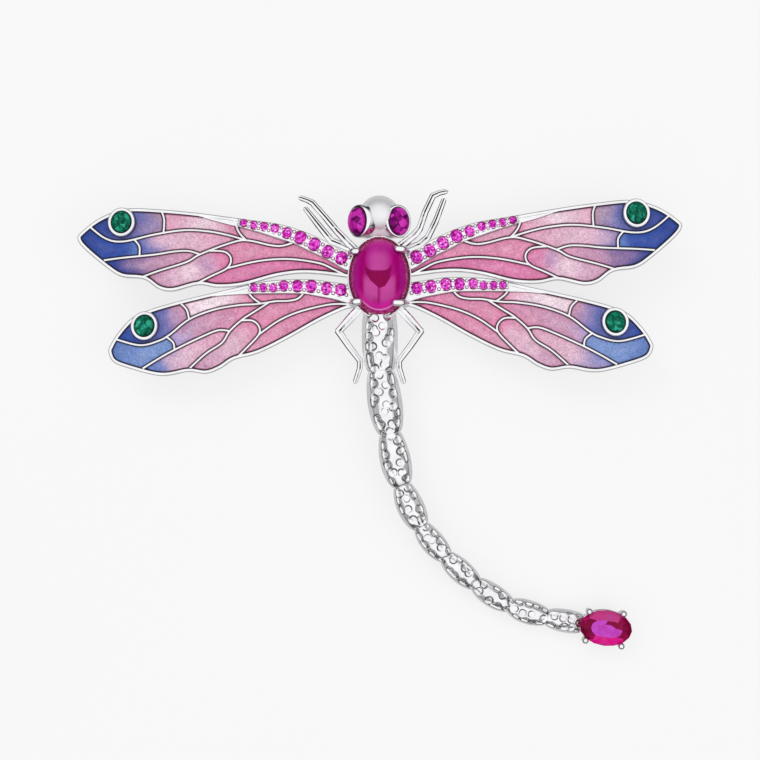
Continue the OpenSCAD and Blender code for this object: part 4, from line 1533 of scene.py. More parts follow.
    def wires(self, maker: Maker) -> Thing:
        """Makes the wires between the cells and along the strip's edge.

        Args:
            maker: The tree for wires.

        Returns:
            The piece.
        """
        edge = smooth(self.on(self.table.ledge), 5)
        paths = [smooth(self.on(row), 6) for row in self.table.wires]
        paths.append(edge[edge[:, 0] > 0.09 * self.table.length] + [0, 0.1])
        border = inset(self.outline(), 0.4 * SIZES.rim_w)
        corners, lines, count = [], [], 0
        for path in paths:
            path = path[inside(path, border)]
            corners.append(self.place(raised(path, SIZES.wing_t - self.wire_h / 2)))
            lines += [(count + i, count + i + 1) for i in range(len(path) - 1)]
            count += len(path)
        mesh = points_mesh(f"wing_wires_{self.name}", np.concatenate(corners), lines)
        return maker.run(mesh, Finish=self.finishes.silver, Width=SIZES.wire_w + 0.05, Height=self.wire_h)

    def pave(self, maker: Maker, cut: Thing, seat: Thing) -> list[Thing]:
        """Sets the small stones, and the seats under them, dark with painted shade.

        Args:
            maker: The tree for rows.
            cut: One small stone.
            seat: One small seat.

        Returns:
            The stones and the seats.
        """
        flat, wide = self.stones()
        lean, seed = -math.radians(SIZES.wing_rise) * self.side.value, len(self.pair) * 3 + self.side.value
        stones = set_row(maker, f"pave_stones_{self.name}", self.place(raised(flat, SIZES.strip_z + 0.02)), cut,
                         self.finishes.pave, wide - 0.04, lean=lean, seed=seed, spin=self.spin)
        seats = set_row(maker, f"pave_seats_{self.name}", self.place(raised(flat, SIZES.strip_z + 0.005)), seat,
                        self.finishes.recess, wide + 0.16, lean=lean)
        return [stones, seats]

    def beads(self, maker: Maker, bead: Thing) -> Thing:
        """Raises the beads of silver that hold the small stones, two between each pair.

        Args:
            maker: The tree for rows.
            bead: One bead.

        Returns:
            The piece.
        """
        flat, wide = self.stones()
        ahead, behind = (flat[1] - flat[0]) * self.past[0], (flat[-1] - flat[-2]) * self.past[1]
        flat, wide = np.vstack([flat[0] - ahead, flat, flat[-1] + behind]), [wide[0], *wide, wide[-1]]
        places, sizes = [], []
        for a, b, da, db in zip(flat, flat[1:], wide, wide[1:]):
            run = (b - a) / np.linalg.norm(b - a)
            aside = np.array([-run[1], run[0]])
            middle = a + (b - a) * (da / (da + db))
            places += [middle + aside * way * 0.3 * (da + db) / 2 for way in (-1, 1)]
            sizes += [self.bead_d * (0.45 + 0.5 * (da + db) / 2 / SIZES.pave_d)] * 2
        return set_row(maker, f"pave_beads_{self.name}", self.place(raised(places, SIZES.strip_z + 0.04)), bead,
                       self.finishes.silver, sizes, smooth=True)

    def dot_stone(self) -> Thing:
        """Makes the domed green stone.

        Returns:
            The piece.
        """
        at, z = self.on([self.table.dot])[0], SIZES.wing_t
        form = Form().dome(SIZES.dot_w / 2 - 0.07, SIZES.dot_l / 2 - 0.07, z + 0.05, z + SIZES.bezel_h - 0.15,
                           SIZES.dot_h, 64, 16)
        form.move(lambda p: turned(p, SIZES.dot_turn) + [*at, 0]).move(self.place)
        return form.piece(f"dot_stone_{self.name}", 60, self.finishes.green)


# ---------------------------------------------------------------- thorax


@dataclass
class Thorax:
    """The oval setting with its toothed ring and claws, and the large domed stone."""

    finishes: Finishes
    teeth: int = 54
    tooth_w: float = 0.36
    tooth: Rows = ((0.12, -0.42, 1.0), (0.12, 0.08, 0.95), (0.09, 0.1, 0.9), (0.02, 0.06, 0.8),
                   (-0.05, -0.02, 0.7), (-0.09, -0.1, 0.7), (-0.09, -0.42, 1.0))
    tooth_out: float = 0.14
    seat_rows: Rows = ((0.03, 0.3), (0.25, 0.3), (0.25, 0.06), (0.03, 0.06))
    claw_t: float = 0.78
    claw_sink: float = 0.42
    claw_taper: tuple[float, float] = (1.1, 1.02)
    knee: float = 0.7
    claws: Sequence[Rows] = (
        ((0.56, 0.66), (0.83, 0.64)), ((-0.71, 0.61), (-0.88, 0.6)),
        ((-0.65, -0.6), (-0.86, -0.62)), ((0.49, -0.635), (0.83, -0.64)))

    @staticmethod
    def levels(rows: Rows) -> Rows:
        """Ovals round the stone, from how far out from it each is and its height."""
        return [[SIZES.thorax_w / 2 + out, SIZES.thorax_l / 2 + out, z] for out, z in rows]

    def cup(self) -> Thing:
        """Makes the cup below the teeth.

        Returns:
            The piece.
        """
        low, g = SIZES.back_z - 0.5, SIZES.girdle_z
        rows = ((-0.6, low), (-0.1, low + 0.02), (0.2, low + 0.12), (0.34, low + 0.35), (0.39, low + 0.7),
                (0.39, g - 0.4), (0.41, g - 0.1), (0.4, g + 0.02), (0.37, g + 0.06), (0.29, g + 0.06), (0.26, g),
                (0.25, g - 0.5), (0.0, g - 0.52), (-0.6, g - 0.52))
        return Form().ovals(self.levels(rows), 128).piece("thorax_cup", 50, self.finishes.silver)

    def ring(self, maker: Maker) -> Thing:
        """Sets the teeth round the stone.

        Args:
            maker: The tree for rows.

        Returns:
            The piece.
        """
        rows, n = np.array(self.tooth), len(self.tooth)
        x, z, share = rows.T
        ends = [np.column_stack([x, way * self.tooth_w / 2 * share, z]) for way in (-1, 1)]
        faces = [[i, (i + 1) % n, n + (i + 1) % n, n + i] for i in range(n)]
        faces += [list(range(n))[::-1], list(range(n, 2 * n))]
        tooth = Form().add(np.vstack(ends), faces).small("tooth_form")
        a, b = SIZES.thorax_w / 2 + self.tooth_out, SIZES.thorax_l / 2 + self.tooth_out
        angle = np.linspace(0, 2 * np.pi, 721)
        run = np.concatenate([[0], np.cumsum(np.hypot(np.diff(a * np.cos(angle)), np.diff(b * np.sin(angle))))])
        at = np.interp(np.arange(self.teeth) / self.teeth * run[-1], run, angle)
        places = np.column_stack([a * np.cos(at), b * np.sin(at), np.full(self.teeth, SIZES.girdle_z)])
        ring = set_row(maker, "thorax_teeth", places, tooth, self.finishes.silver, 1.0,
                       turn=np.arctan2(a * np.sin(at), b * np.cos(at)))
        bpy.data.objects.remove(tooth)
        return ring

    def seat(self) -> Thing:
        """Makes the seat between the teeth, a dark ring of painted shade."""
        levels = self.levels([(out, SIZES.girdle_z - down) for out, down in self.seat_rows])
        return Form().ovals(levels, 96, ring=True).piece("thorax_seat", 40, self.finishes.recess)

    def prongs(self) -> Thing:
        """Makes the four claws that lie over the stone's edge.

        Returns:
            The piece.
        """
        form, t, g = Form(), self.claw_t, SIZES.girdle_z
        for tip, foot in np.array(self.claws) * [SIZES.cup_a, SIZES.cup_b]:
            long = np.linalg.norm(foot - tip)
            out = (foot - tip) / long
            under = tip - out * t * self.claw_sink
            far = math.hypot(2 * under[0] / SIZES.thorax_w, 2 * under[1] / SIZES.thorax_l)
            over = g + SIZES.thorax_h * math.sqrt(max(0, 1 - far * far)) + t * self.claw_sink
            knee = tip + out * long * self.knee
            path = smooth([[*foot, SIZES.leg_z - 0.1], [*foot, g + 0.2], [*knee, over - 0.12], [*tip, over]], 6)
            thick = np.linspace(*(t * share for share in self.claw_taper), len(path))
            form.rod(path, thick, 20, 2.3, np.array([out[1], -out[0], 0.0]))
        return form.piece("thorax_claws", 60, self.finishes.tail)

    def stone(self) -> Thing:
        """Makes the large domed stone.

        Returns:
            The piece.
        """
        foot = self.levels([(0.02, SIZES.girdle_z - 0.7)])[0]
        form = Form().dome(*foot, SIZES.girdle_z, SIZES.thorax_h - 0.02, 144, 40)
        return form.piece("thorax_dome", 60, self.finishes.ruby)


# ---------------------------------------------------------------- head


@dataclass
class Head:
    """The head with its two tilted eye settings and the eye stones."""

    finishes: Finishes
    eyes: Sequence[tuple[float, float]] = ((0.52, 23.0), (-0.58, 39.0))
    eye_w: float = 2.7
    eye_l: float = 3.4
    eye_turn: float = 8
    eye_tip: float = 3
    wall: float = 0.2
    dome: float = 1.1
    voxel: float = 0.075
    ease: tuple[float, int] = (0.6, 18)
    neck: Rows = ((0, 2.1, 0.98), (0.9, 2.1, 0.84), (1.8, 2.4, 0.62), (SIZES.head_gap + 0.1, 2.95, 0.38))
    neck_t: float = 1.4
    eye_cup: Rows = ((0.8, -1.5), (0.95, -1.1), (1, -0.6), (1, -0.06))
    bezel: Rows = (
        (0.2, 0.5, -1.05), (0.2, 0.34, -0.6), (0.2, 0.16, -0.2), (0.19, 0.06, -0.02), (0.15, 0.0, 0.05),
        (0.08, 0, 0.08), (0.0, 0, 0.08), (-0.06, 0, 0.05), (-0.09, 0, 0.0), (-0.09, 0, -0.12), (0.0, 0, -0.3),
        (0.0, 0, -1.05))

    def on_eye(self, k: int, points: np.ndarray) -> np.ndarray:
        """Moves points from an eye's own axes, rim at height zero, to their place.

        Args:
            k: 0 for the right eye, 1 for the left.
            points: The points.

        Returns:
            The points from the thorax stone's middle.
        """
        side = 1 if k == 0 else -1
        share, lean = self.eyes[k]
        turns = [math.radians(turn) for turn in (side * self.eye_turn, side * lean, self.eye_tip)]
        cz, sz, cy, sy, cx, sx = (f(turn) for turn in turns for f in (math.cos, math.sin))
        spin = np.array([[cz, -sz, 0], [sz, cz, 0], [0, 0, 1]])
        tip = np.array([[1, 0, 0], [0, cx, -sx], [0, sx, cx]])
        roll = np.array([[cy, 0, sy], [0, 1, 0], [-sy, 0, cy]])
        d = SIZES.head_d
        at = np.array([share * d, SIZES.head_y - 0.22 * d, SIZES.back_z + 0.5 * d])
        return points @ (roll @ tip @ spin).T + at

    def skull(self) -> Thing:
        """Makes the head, its neck and the eye cups as one smooth form.

        Returns:
            The piece.
        """
        y, z, r = SIZES.head_y, SIZES.back_z + 0.22 * SIZES.head_d, SIZES.head_d / 2
        form = Form().ball((0, y - 0.1, z), (r * 1.08, r * 1.05, r), 24, 48)
        a, b = self.eye_w / 2 + self.wall, self.eye_l / 2 + self.wall
        for k in (0, 1):
            cup = Form().ovals([[a * share, b * share, h] for share, h in self.eye_cup], 48)
            form.add(self.on_eye(k, np.concatenate(cup.points)), cup.faces)
        rows = []
        for back, wide, top in self.neck:
            across, up = ellipse(wide, self.neck_t, 40).T
            rows.append(np.column_stack([across, np.full(40, y - back), z + r * top - self.neck_t + up]))
        head = new_object("head_form", form.grid(rows).mesh("head_form"))
        melt = head.modifiers.new("melt", "REMESH")
        melt.mode, melt.voxel_size = "VOXEL", self.voxel * MM
        soft = head.modifiers.new("ease", "SMOOTH")
        soft.factor, soft.iterations = self.ease
        made_plain(head)
        head.name = head.data.name = "head"
        return finished(head, 60, self.finishes.satin)

    def bezels(self) -> Thing:
        """Makes the rings round the eye stones.

        Returns:
            The piece.
        """
        form = Form()
        a, b = self.eye_w / 2, self.eye_l / 2
        base = ellipse(a, b, 72)
        aside = base / [a * a, b * b]
        aside /= np.linalg.norm(aside, axis=1, keepdims=True)
        for k in (0, 1):
            # the wall is wider towards the head's middle
            share = 0.1 + 0.9 * np.clip(aside @ [-0.9 if k == 0 else 0.9, 0.42], 0, 1) ** 2
            form.grid([self.on_eye(k, raised(base + aside * (fixed + flare * share)[:, None], z))
                       for fixed, flare, z in self.bezel], along=True)
        return form.piece("eye_bezels", 60, self.finishes.silver)

    def stone(self, k: int) -> Thing:
        """Makes an eye stone.

        Args:
            k: 0 for the right, 1 for the left.

        Returns:
            The piece.
        """
        form = Form().dome(self.eye_w / 2 - 0.05, self.eye_l / 2 - 0.05, -0.5, -0.05, self.dome, 72, 20)
        form.move(lambda p: self.on_eye(k, p))
        return form.piece(f"eye_dome_{'right' if k == 0 else 'left'}", 60, self.finishes.eye)


# ---------------------------------------------------------------- legs


@dataclass
class Legs:
    """Four front legs and two back legs, bars with a bevelled top and crisp knees."""

    finishes: Finishes
    front_l: float = 10.0
    back_l: float = 9.0
    thick: float = 0.8
    hooks: tuple[float, float] = (37, 147)
    hook_out: float = 0.3
    front_right: Sequence[Rows] = (
        ((-0.1, -0.12, 0, 1.2), (0.06, 0, 0.02, 1.25), (0.16, 0.08, 0.03, 1.2), (0.225, 0.16, 0.03, 1.05),
         (0.29, 0.35, 0.04, 1), (0.38, 0.54, 0.02, 0.95), (0.455, 0.575, 0.01, 0.85), (0.527, 0.593, -0.01, 0.8)),
        ((-0.02, -0.12, -0.03, 1.2), (0.1, -0.075, -0.03, 1.25), (0.23, -0.02, -0.03, 1.15),
         (0.32, 0.06, -0.03, 1), (0.415, 0.25, -0.03, 0.95), (0.505, 0.49, -0.04, 0.8)))
    front_left: Sequence[Rows] = (
        ((-0.06, -0.16, 0, 1.2), (0.05, -0.08, 0.01, 1.25), (0.25, 0.125, 0.02, 1.1), (0.39, 0.29, 0.03, 1),
         (0.54, 0.46, 0.03, 0.95), (0.6, 0.49, 0.02, 0.85), (0.67, 0.515, 0.01, 0.8)),
        ((0, -0.12, -0.03, 1.2), (0.16, -0.048, -0.03, 1.2), (0.32, 0.02, -0.03, 1.1),
         (0.47, 0.205, -0.03, 1), (0.615, 0.39, -0.04, 0.8)))
    back: Rows = ((-0.07, 0.16, 0.02, 1.3), (0.13, -0.05, 0.03, 1.35), (0.285, -0.22, 0.02, 1.1),
                  (0.155, -0.41, -0.02, 1), (0.01, -0.6, -0.08, 0.9), (0.015, -0.7, -0.09, 0.85),
                  (0.07, -0.87, -0.12, 0.75))
    profile: Rows = ((-0.7, -0.8), (-0.98, -0.5), (-0.98, 0.0), (-0.68, 0.32), (-0.1, 0.38), (0.36, -0.05),
                     (0.68, -0.11), (0.96, -0.43), (0.94, -0.6), (0.7, -0.8))
    corner: float = 0.14

    def bar(self, form: Form, rows: Rows, hook: np.ndarray, side: int, far: float, facing: int) -> None:
        """Adds one leg.

        Args:
            form: What it is added to.
            rows: Its places outwards, forwards and up in shares of its length, and its thickness.
            hook: Where it leaves the thorax setting.
            side: 1 for the right, -1 for the left.
            far: Its length.
            facing: The side that its bevel is on.
        """
        q = np.array(rows)
        run = np.diff(q, axis=0) * self.corner
        q = np.vstack([np.stack([q[:-1], q[:-1] + run, q[1:] - run], 1).reshape(-1, q.shape[1]), q[-1:]])
        curve = smooth(np.column_stack([side * (hook[0] + q[:, 0] * far), hook[1] + q[:, 1] * far,
                                        SIZES.leg_z + q[:, 2] * far, q[:, 3] * self.thick]), 4)
        path, half = curve[:, :3], curve[:, 3:] / 2
        ends, t = np.array([0.35, 0.7, 0.9]), headings(curve[:, :3])
        first = [path[0] - t[0] * half[0] * (1 - e) for e in ends]
        last = [path[-1] + t[-1] * half[-1] * math.sqrt(1 - e * e) for e in ends[::-1]]
        wide = np.vstack([half[0] * ends[:, None], half, half[-1] * ends[::-1, None]])
        form.sweep(np.vstack([*first, path, *last]), np.repeat(wide, 2, axis=1),
                   np.array(self.profile)[::-1] * [facing, 1])

    def build(self) -> Thing:
        """Makes all six legs.

        Returns:
            The piece.
        """
        form, a, b = Form(), SIZES.cup_a + self.hook_out, SIZES.cup_b + self.hook_out
        turns = [math.radians(turn) for turn in self.hooks]
        front, back = (np.array([math.sin(turn) * a, math.cos(turn) * b]) for turn in turns)
        for side, legs in ((1, self.front_right), (-1, self.front_left)):
            for rows in legs:
                self.bar(form, rows, front, side, self.front_l, -side)
        for side in (-1, 1):
            self.bar(form, self.back, back, side, self.back_l, side)
        return form.piece("legs", 20, self.finishes.silver)


# ---------------------------------------------------------------- tail


@dataclass
class Tail:
    """The tail of hammered beads, its end setting and the cut stone in it."""

    finishes: Finishes
    length: float = 48.9
    width: float = 4.2
    flat: float = 0.78
    start: tuple[float, float] = (0.8, 0.75)
    first_neck: float = 0.86
    beads: Rows = (
        (1.6, 0.141, 1, 0.7), (8.2, 0.1505, 0.96, 0.56), (13, 0.1275, 0.86, 0.46), (24.8, 0.1085, 0.76, 0.42),
        (39.2, 0.095, 0.67, 0.4), (47.8, 0.0975, 0.66, 0.4), (57.3, 0.098, 0.66, 0.38), (71.6, 0.0945, 0.68, 0.42),
        (78.9, 0.087, 0.66, 0.5))
    crown: Rows = ((0, 1), (0.15, 0.995), (0.3, 0.965), (0.4, 0.905), (0.75, 0.625), (0.79, 0.54), (0.9, 0.29),
                   (0.97, 0.12), (1, 0))
    rings: int = 68
    sides: int = 128
    dent: float = 1.15
    dent_depth: float = 0.18
    drop_w: float = 4.25
    drop_l: float = 6.2
    drop_z: float = 2.55
    drop_turn: float = -7
    drop_in: float = 0.4
    ring_w: float = 0.5
    ring_round: float = 0.1
    wire: float = 0.62
    wire_foot: float = 0.62
    wire_tip: float = 0.66
    wires: Sequence[float] = (57, 132, 226.5, 307)
    cut: Rows = ((0.12, -0.43, 0), (0.56, -0.24, 0.5), (0.98, -0.03, 0), (1, 0, 0), (1, 0.025, 0),
                 (0.83, 0.115, 0.5), (0.56, 0.19, 0))
    table: Rows = ((0.2, 1.2), (1.1, 0.9), (1.9, 0.8), (2.8, 1.25), (3.6, 1.1), (4.5, 0.8), (5.3, 0.9), (5.9, 1.1))

    def necks(self) -> np.ndarray:
        """Places the necks between the beads, from inside the thorax setting.

        Returns:
            Their middles.
        """
        at, run = np.array([0.0, -SIZES.cup_b + self.start[0]]), 0.0
        top, low = SIZES.back_z + self.start[1], 0.5 * self.drop_z
        out = [[*at, top]]
        for turn, share, _, _ in self.beads:
            at = at + self.length * share * np.array([math.sin(math.radians(turn)), -math.cos(math.radians(turn))])
            run += share
            out.append([*at, top + (low - top) * (1 - math.cos(math.radians(90 * run)))])
        return np.array(out)

    def body(self, maker: Maker) -> Thing:
        """Makes the beads and hammers them.

        Args:
            maker: The tree that hammers.

        Returns:
            The piece.
        """
        path = smooth(self.necks(), self.rings)
        n = len(path)
        bead = np.minimum(np.arange(n) // self.rings, len(self.beads) - 1)
        t = np.arange(n) / self.rings - bead
        full, after = np.array(self.beads).T[2:, bead]
        before = np.array([self.first_neck, *(row[3] for row in self.beads)])[bead]
        low = before * (1 - t) + after * t
        half = self.width / 2 * (low + (full - low) * np.maximum(0, np.sin(np.pi * t)) ** 0.6)
        spread = 2 * np.arange(self.sides) / self.sides - 1
        angle = np.pi / 2 + np.pi * (0.6 * spread + 0.4 * spread**3)
        across, front = np.cos(angle), np.sin(angle) > 0
        rise = np.where(front, np.interp(np.abs(across), *np.array(self.crown).T), np.sin(angle))
        form = Form().sweep(path, np.stack([half, half * self.flat], 1), np.stack([across, rise], 1))
        steps = np.concatenate([[0], np.cumsum(np.linalg.norm(np.diff(path, axis=0), axis=1))])
        skin = np.zeros((n, self.sides, 3))
        skin[:, :, 0] = steps[:, None]
        skin[:, :, 1] = across[None, :] * half[:, None] + bead[:, None] * 7.3
        weight = np.clip((0.82 - np.abs(across)) / 0.08, 0, 1) * front
        hold = weight[None, :] * np.clip(np.minimum(t, 1 - t) * 16, 0, 1)[:, None]
        form.stored = {"skin": skin.reshape(-1, 3), "weight": hold.ravel()}
        mesh = form.mesh("tail_body")
        return maker.run(mesh, Finish=self.finishes.tail, Dent=self.dent, Depth=self.dent_depth * MM)

    def on_drop(self, points: np.ndarray) -> np.ndarray:
        """Moves points from the stone's own axes to their place."""
        at = self.necks()[-1][:2] + turned(np.array([[self.drop_l / 2 - self.drop_in, 0.0]]), self.drop_turn)[0]
        return turned(points, self.drop_turn) + [*at, 0]

    def setting(self) -> Thing:
        """Makes the two rings and four wires with round tips.

        Returns:
            The piece.
        """
        form, a, b = Form(), self.drop_l / 2, self.drop_w / 2
        w, r = self.ring_w, self.ring_round
        for share, low, high in ((0.7, 0.0, 0.55), (0.97, self.drop_z - 1.24, 0.5)):
            rim = [(0, r), (r, 0), (w - r, 0), (w, r), (w, high - r), (w - r, high), (r, high), (0, high - r)]
            form.ovals([[a * share - o, b * share - o, low + z] for o, z in rim], 80, ring=True)
        for turn in self.wires:
            c, s = math.cos(math.radians(turn)), math.sin(math.radians(turn))
            top = np.array([(a + self.wire / 2 - 0.1) * c, (b + self.wire / 2 - 0.12) * s])
            foot = self.wire_foot * np.array([a * c, b * s])
            path = smooth([[*foot, 0.5 * self.wire], [*(foot * 0.5 + top * 0.5), 1.15], [*top, self.drop_z - 0.7],
                           [*top, self.drop_z + 0.36]], 6)
            form.rod(path, self.wire, 20, up=np.array([0, 1.0, 0.001]))
            form.ball([*top, self.drop_z + 0.42], [self.wire * self.wire_tip] * 3, 14, 24)
        return form.move(self.on_drop).piece("drop_setting", 50, self.finishes.silver)

    @staticmethod
    def light(row: int, k: int) -> float:
        """Chooses how light a facet of the cut stone looks, as painted reflections: dark on part of the table and
        on the crown's ends.

        Args:
            row: The ring of facets that it is in, counted from the lowest, from 10 on for the table's.
            k: Its place in the ring.

        Returns:
            A number from zero to one.
        """
        pick = (math.sin(row * 12.9898 + k * 78.233) * 43758.5453) % 1
        turn = math.pi * (k + 0.5) / (4 if row >= 10 else 8)
        if row >= 10:
            value = 0.12 + 0.1 * pick if row in (10, 11, 12) and 0.3 < turn < 1.7 else 0.9 + 0.08 * pick
        elif row >= 4:
            ends = abs(math.cos(turn)) ** 3
            value = (0.68 if math.sin(turn) > 0 else 0.5) + 0.1 * (pick - 0.5)
            value = value if ends < 0.22 else 0.34 - 0.3 * ends + 0.2 * (pick - 0.5)
        else:
            value = 0.1 + 0.2 * pick
        return min(max(value, 0), 1)

    def stone(self) -> Thing:
        """Makes the cut stone: a table, two rows of crown facets, a girdle and a pavilion.

        Returns:
            The piece.
        """
        n, a, b = 16, self.drop_l / 2 - 0.02, self.drop_w / 2 - 0.02
        table_z = self.drop_z + self.cut[-1][1] * self.drop_w
        points = []
        for share, z, half in self.cut:
            v = 2 * np.pi * (np.arange(n) + half) / n
            if z == self.cut[-1][1]:
                share = share + 0.04 * np.abs(np.cos(v)) - 0.12 * np.abs(np.sin(v)) ** 6
            ring = np.stack([a * share * np.cos(v), b * share * np.sin(v)], 1)
            points.append(raised(ring, self.drop_z + z * self.drop_w))
        faces, kinds = facets([row[2] for row in self.cut], n)
        # the table, in flat pieces that show the facets below it as painted reflections
        points.append([[a * 0.3 * math.cos(v) * k, b * 0.3 * math.sin(v) * k, table_z] for v, k in self.table])
        points.append([[0.02 * a, 0.04 * b, table_z]])
        top, hub = (len(self.cut) - 1) * n, len(self.cut) * n
        for k in range(8):
            m = hub + (k + 1) % 8
            p, q, r = (top + (2 * k + i) % n for i in range(3))
            faces += [[p, q, hub + k], [q, r, m], [q, m, hub + k], [hub + k, m, hub + 8]]
            kinds += [(row, k) for row in (10, 11, 12, 13)]
        mesh = Form().add(np.concatenate(points), faces).move(self.on_drop).mesh("drop_stone", closed=False)
        keep(mesh, "facet", [self.light(*kind) for kind in kinds], "FACE")
        mesh.materials.append(self.finishes.drop)
        return new_object(mesh.name, mesh)


# ---------------------------------------------------------------- pin


@dataclass
class Pin:
    """The pin across the backs of the forewings: at each end a barrel of three knuckles under a block, and a stem
    with rounded ends between them.
    """

    finishes: Finishes
    length: float = 24.8
    stem: float = 0.9
    z: float = 1.15
    post: float = 2.2
    forward: float = 0.245
    knuckles: Rows = ((-1, -0.36), (-0.32, 0.32), (0.36, 1))

    def build(self) -> Thing:
        """Makes the fitting.

        Returns:
            The piece.
        """
        form, half, y = Form(), self.post / 2, self.forward * SIZES.thorax_l
        top = SIZES.back_z + (self.length / 2 - half) * math.tan(math.radians(SIZES.wing_rise)) + 0.02
        for x in (-self.length / 2, self.length / 2):
            # barrel in three knuckles, and the block above it
            for low, high in self.knuckles:
                rows = []
                for u, r in ((low, 0.9), (low + 0.06, 1), (high - 0.06, 1), (high, 0.9)):
                    ring = ellipse(self.z * r, self.z * r, 40)
                    rows.append(np.column_stack([np.full(40, x + u * half), y + ring[:, 0], self.z + ring[:, 1]]))
                form.grid(rows)
            form.grid([raised(ellipse(half + grow - 0.02, half + grow - 0.02, 32, 7) + [x, y], h)
                       for grow, h in ((0, self.z), (0, top - 0.3), (0.04, top - 0.1), (0.1, top))])
        run = np.linspace(-self.length / 2, self.length / 2, 24)
        form.rod(np.column_stack([run, np.full(24, y), np.full(24, self.z)]), self.stem, 24)
        return form.piece("pin_and_catch", 40, self.finishes.silver)


# ---------------------------------------------------------------- studio


@dataclass
class Studio:
    """Pale floor, soft light all round and a camera straight above."""

    lens: float = 75.1
    height: float = 188.9
    aside: tuple[float, float] = (0.058, -11.91)
    half: float = 4.0
    glow: float = 0.74
    tent: Rows = ((0.0, 0.5), (0.25, 0.62), (0.38, 0.4), (0.44, 0.03), (0.62, 0.03), (0.7, 0.42), (0.84, 0.98),
                  (1.0, 1.0))
    lamps: Sequence[tuple[str, tuple[float, float, float], float, float]] = (
        ("key", (-0.22, 0.3, 0.42), 0.22, 0.5), ("fill", (0.3, -0.1, 0.4), 0.25, 0.3))

    def floor(self) -> None:
        """Lays the floor."""
        mesh, s = bpy.data.meshes.new("floor"), self.half
        mesh.from_pydata([(-s, -s, 0), (s, -s, 0), (s, s, 0), (-s, s, 0)], [], [(0, 1, 2, 3)])
        shader = Shader("floor", Roughness=0.9, Specular_IOR_Level=0.1, Emission_Color=(1, 1, 1, 1),
                        Emission_Strength=self.glow)
        tone = shader.blend(paint("#777777"), paint("#7c7c7c"), shader.noise(90))
        mesh.materials.append(shader.put(Base_Color=tone))
        floor = new_object("floor", mesh)
        floor.visible_glossy = False

    def sky(self) -> None:
        """Surrounds the scene with a bright tent, dark in a band above the table's edge."""
        world = bpy.data.worlds.new("tent")
        world.use_nodes = True
        tree = Tree(world.node_tree)
        tree.tree.nodes.clear()
        way = tree.node("ShaderNodeTexCoord").outputs["Generated"]
        high = tree.node("ShaderNodeSeparateXYZ", None, {0: way}).outputs[2]
        level = tree.out("ShaderNodeMapRange", None, {0: high, 1: -1.0, 2: 1.0, 3: 0.0, 4: 1.0})
        stops = [(at, (v, v, v * 1.01, 1)) for at, v in self.tent]
        band = tree.out("ShaderNodeValToRGB", {"stops": stops}, {0: level})
        glow = tree.out("ShaderNodeBackground", None, {"Color": band, "Strength": 1.08})
        tree.node("ShaderNodeOutputWorld", None, {"Surface": glow})
        bpy.context.scene.world = world

    def lamp(self, name: str, at: Sequence[float], size: float, power: float) -> None:
        """Hangs a soft square lamp that faces the brooch.

        Args:
            name: The lamp's name.
            at: Its place in metres.
            size: Its side in metres.
            power: Its power.
        """
        light = bpy.data.lights.new(name, "AREA")
        light.shape, light.size, light.energy = "SQUARE", size, power
        lamp = new_object(name, light)
        lamp.location = at
        lamp.rotation_euler = (-Vector(at)).to_track_quat("-Z", "Y").to_euler()
        lamp.visible_glossy = False

    def camera(self) -> None:
        """Hangs the camera above the brooch."""
        lens = bpy.data.cameras.new("camera")
        lens.lens, lens.sensor_width, lens.clip_start, lens.clip_end = self.lens, 36, 0.01, 10
        camera = new_object("camera", lens)
        camera.location = ((HEART[0] + self.aside[0]) * MM, (HEART[1] + self.aside[1]) * MM, self.height * MM)
        bpy.context.scene.camera = camera

    def build(self) -> None:
        """Sets up the whole studio."""
        self.camera()
        self.floor()
        self.sky()
        for lamp in self.lamps:
            self.lamp(*lamp)
        bpy.context.scene.view_settings.view_transform = "Standard"


# ---------------------------------------------------------------- all together


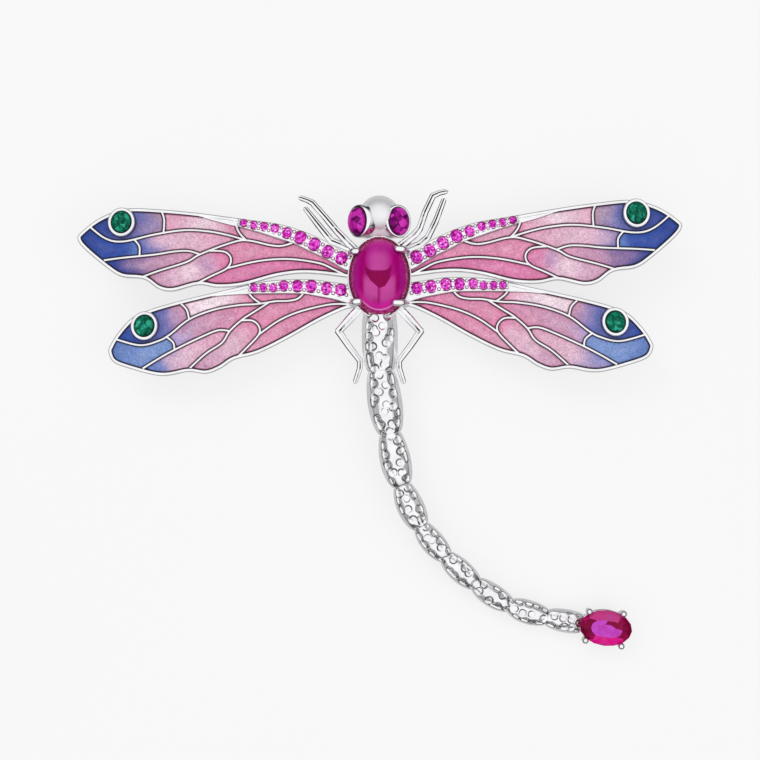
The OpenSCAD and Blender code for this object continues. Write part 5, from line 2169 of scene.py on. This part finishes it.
def small_cut(sides: int = 8) -> Thing:
    """Makes a round faceted stone one millimetre wide, girdle at height zero, for the rows of small stones.

    Args:
        sides: Facets round its table.

    Returns:
        The small form.
    """
    rows, points = [(0.12, -0.36, 0), (0.97, -0.04, 0), (1, 0.03, 0), (0.8, 0.12, 0.5), (0.5, 0.18, 0)], []
    for share, z, half in rows:
        v = 2 * np.pi * (np.arange(sides) + half) / sides
        points.append(raised(np.stack([share / 2 * np.cos(v), share / 2 * np.sin(v)], 1), z))
    faces, _ = facets([row[2] for row in rows], sides)
    top, hub = (len(rows) - 1) * sides, len(rows) * sides
    points.append(np.array([[0.04, 0.03, 0.18]]))
    faces += [[top + j, top + (j + 1) % sides, hub] for j in range(sides)]
    return Form().add(np.concatenate(points), faces).small("small_cut")


def settle(thing: Thing, node: str = "casting") -> None:
    """Hands a finished piece to the frame and reports it.

    Args:
        thing: The piece.
        node: The node that it replaces.
    """
    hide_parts(node)
    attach(thing, "root")
    log.info("%s: %d faces", thing.name, len(thing.data.polygons))


def main() -> None:
    """Builds the brooch and its studio."""
    logging.basicConfig(level=logging.INFO, format="%(name)s %(message)s")
    Studio().build()
    finishes = Finishes()
    wires, rows, hammer = wire_maker(), row_maker(), hammer_maker()
    cut = small_cut()
    bead = Form().ball((0, 0, 0), (0.5, 0.5, 0.5), 8, 12).small("small_ball")
    seat = Form().ovals([[0.5, 0.5, -0.02], [0.5, 0.5, 0.0]], 24).small("small_seat")
    for (pair, table), side in product((("fore", FORE), ("hind", HIND)), Side):
        wing = Wing(pair, table, side, finishes)
        for piece in (wing.plate(), wing.rims(), wing.wires(wires)):
            settle(piece)
        settle(wing.enamel(), f"enamel_{wing.name}")
        stones, seats = wing.pave(rows, cut, seat)
        settle(stones, f"pave_{wing.name}")
        settle(seats)
        settle(wing.beads(rows, bead))
        settle(wing.dot_stone(), f"wing_stone_{wing.name}")
    thorax = Thorax(finishes)
    for piece in (thorax.cup(), thorax.ring(rows), thorax.seat(), thorax.prongs()):
        settle(piece)
    settle(thorax.stone(), "thorax_stone")
    head = Head(finishes)
    for piece in (head.skull(), head.bezels()):
        settle(piece)
    for k, name in enumerate(("right", "left")):
        settle(head.stone(k), f"eye_stone_{name}")
    settle(Legs(finishes).build())
    tail = Tail(finishes)
    for piece in (tail.body(hammer), tail.setting()):
        settle(piece)
    settle(tail.stone(), "tail_stone")
    settle(Pin(finishes).build(), "pin_fitting")
    for form in (cut, bead, seat):
        bpy.data.objects.remove(form)


if __name__ == "__main__":
    main()
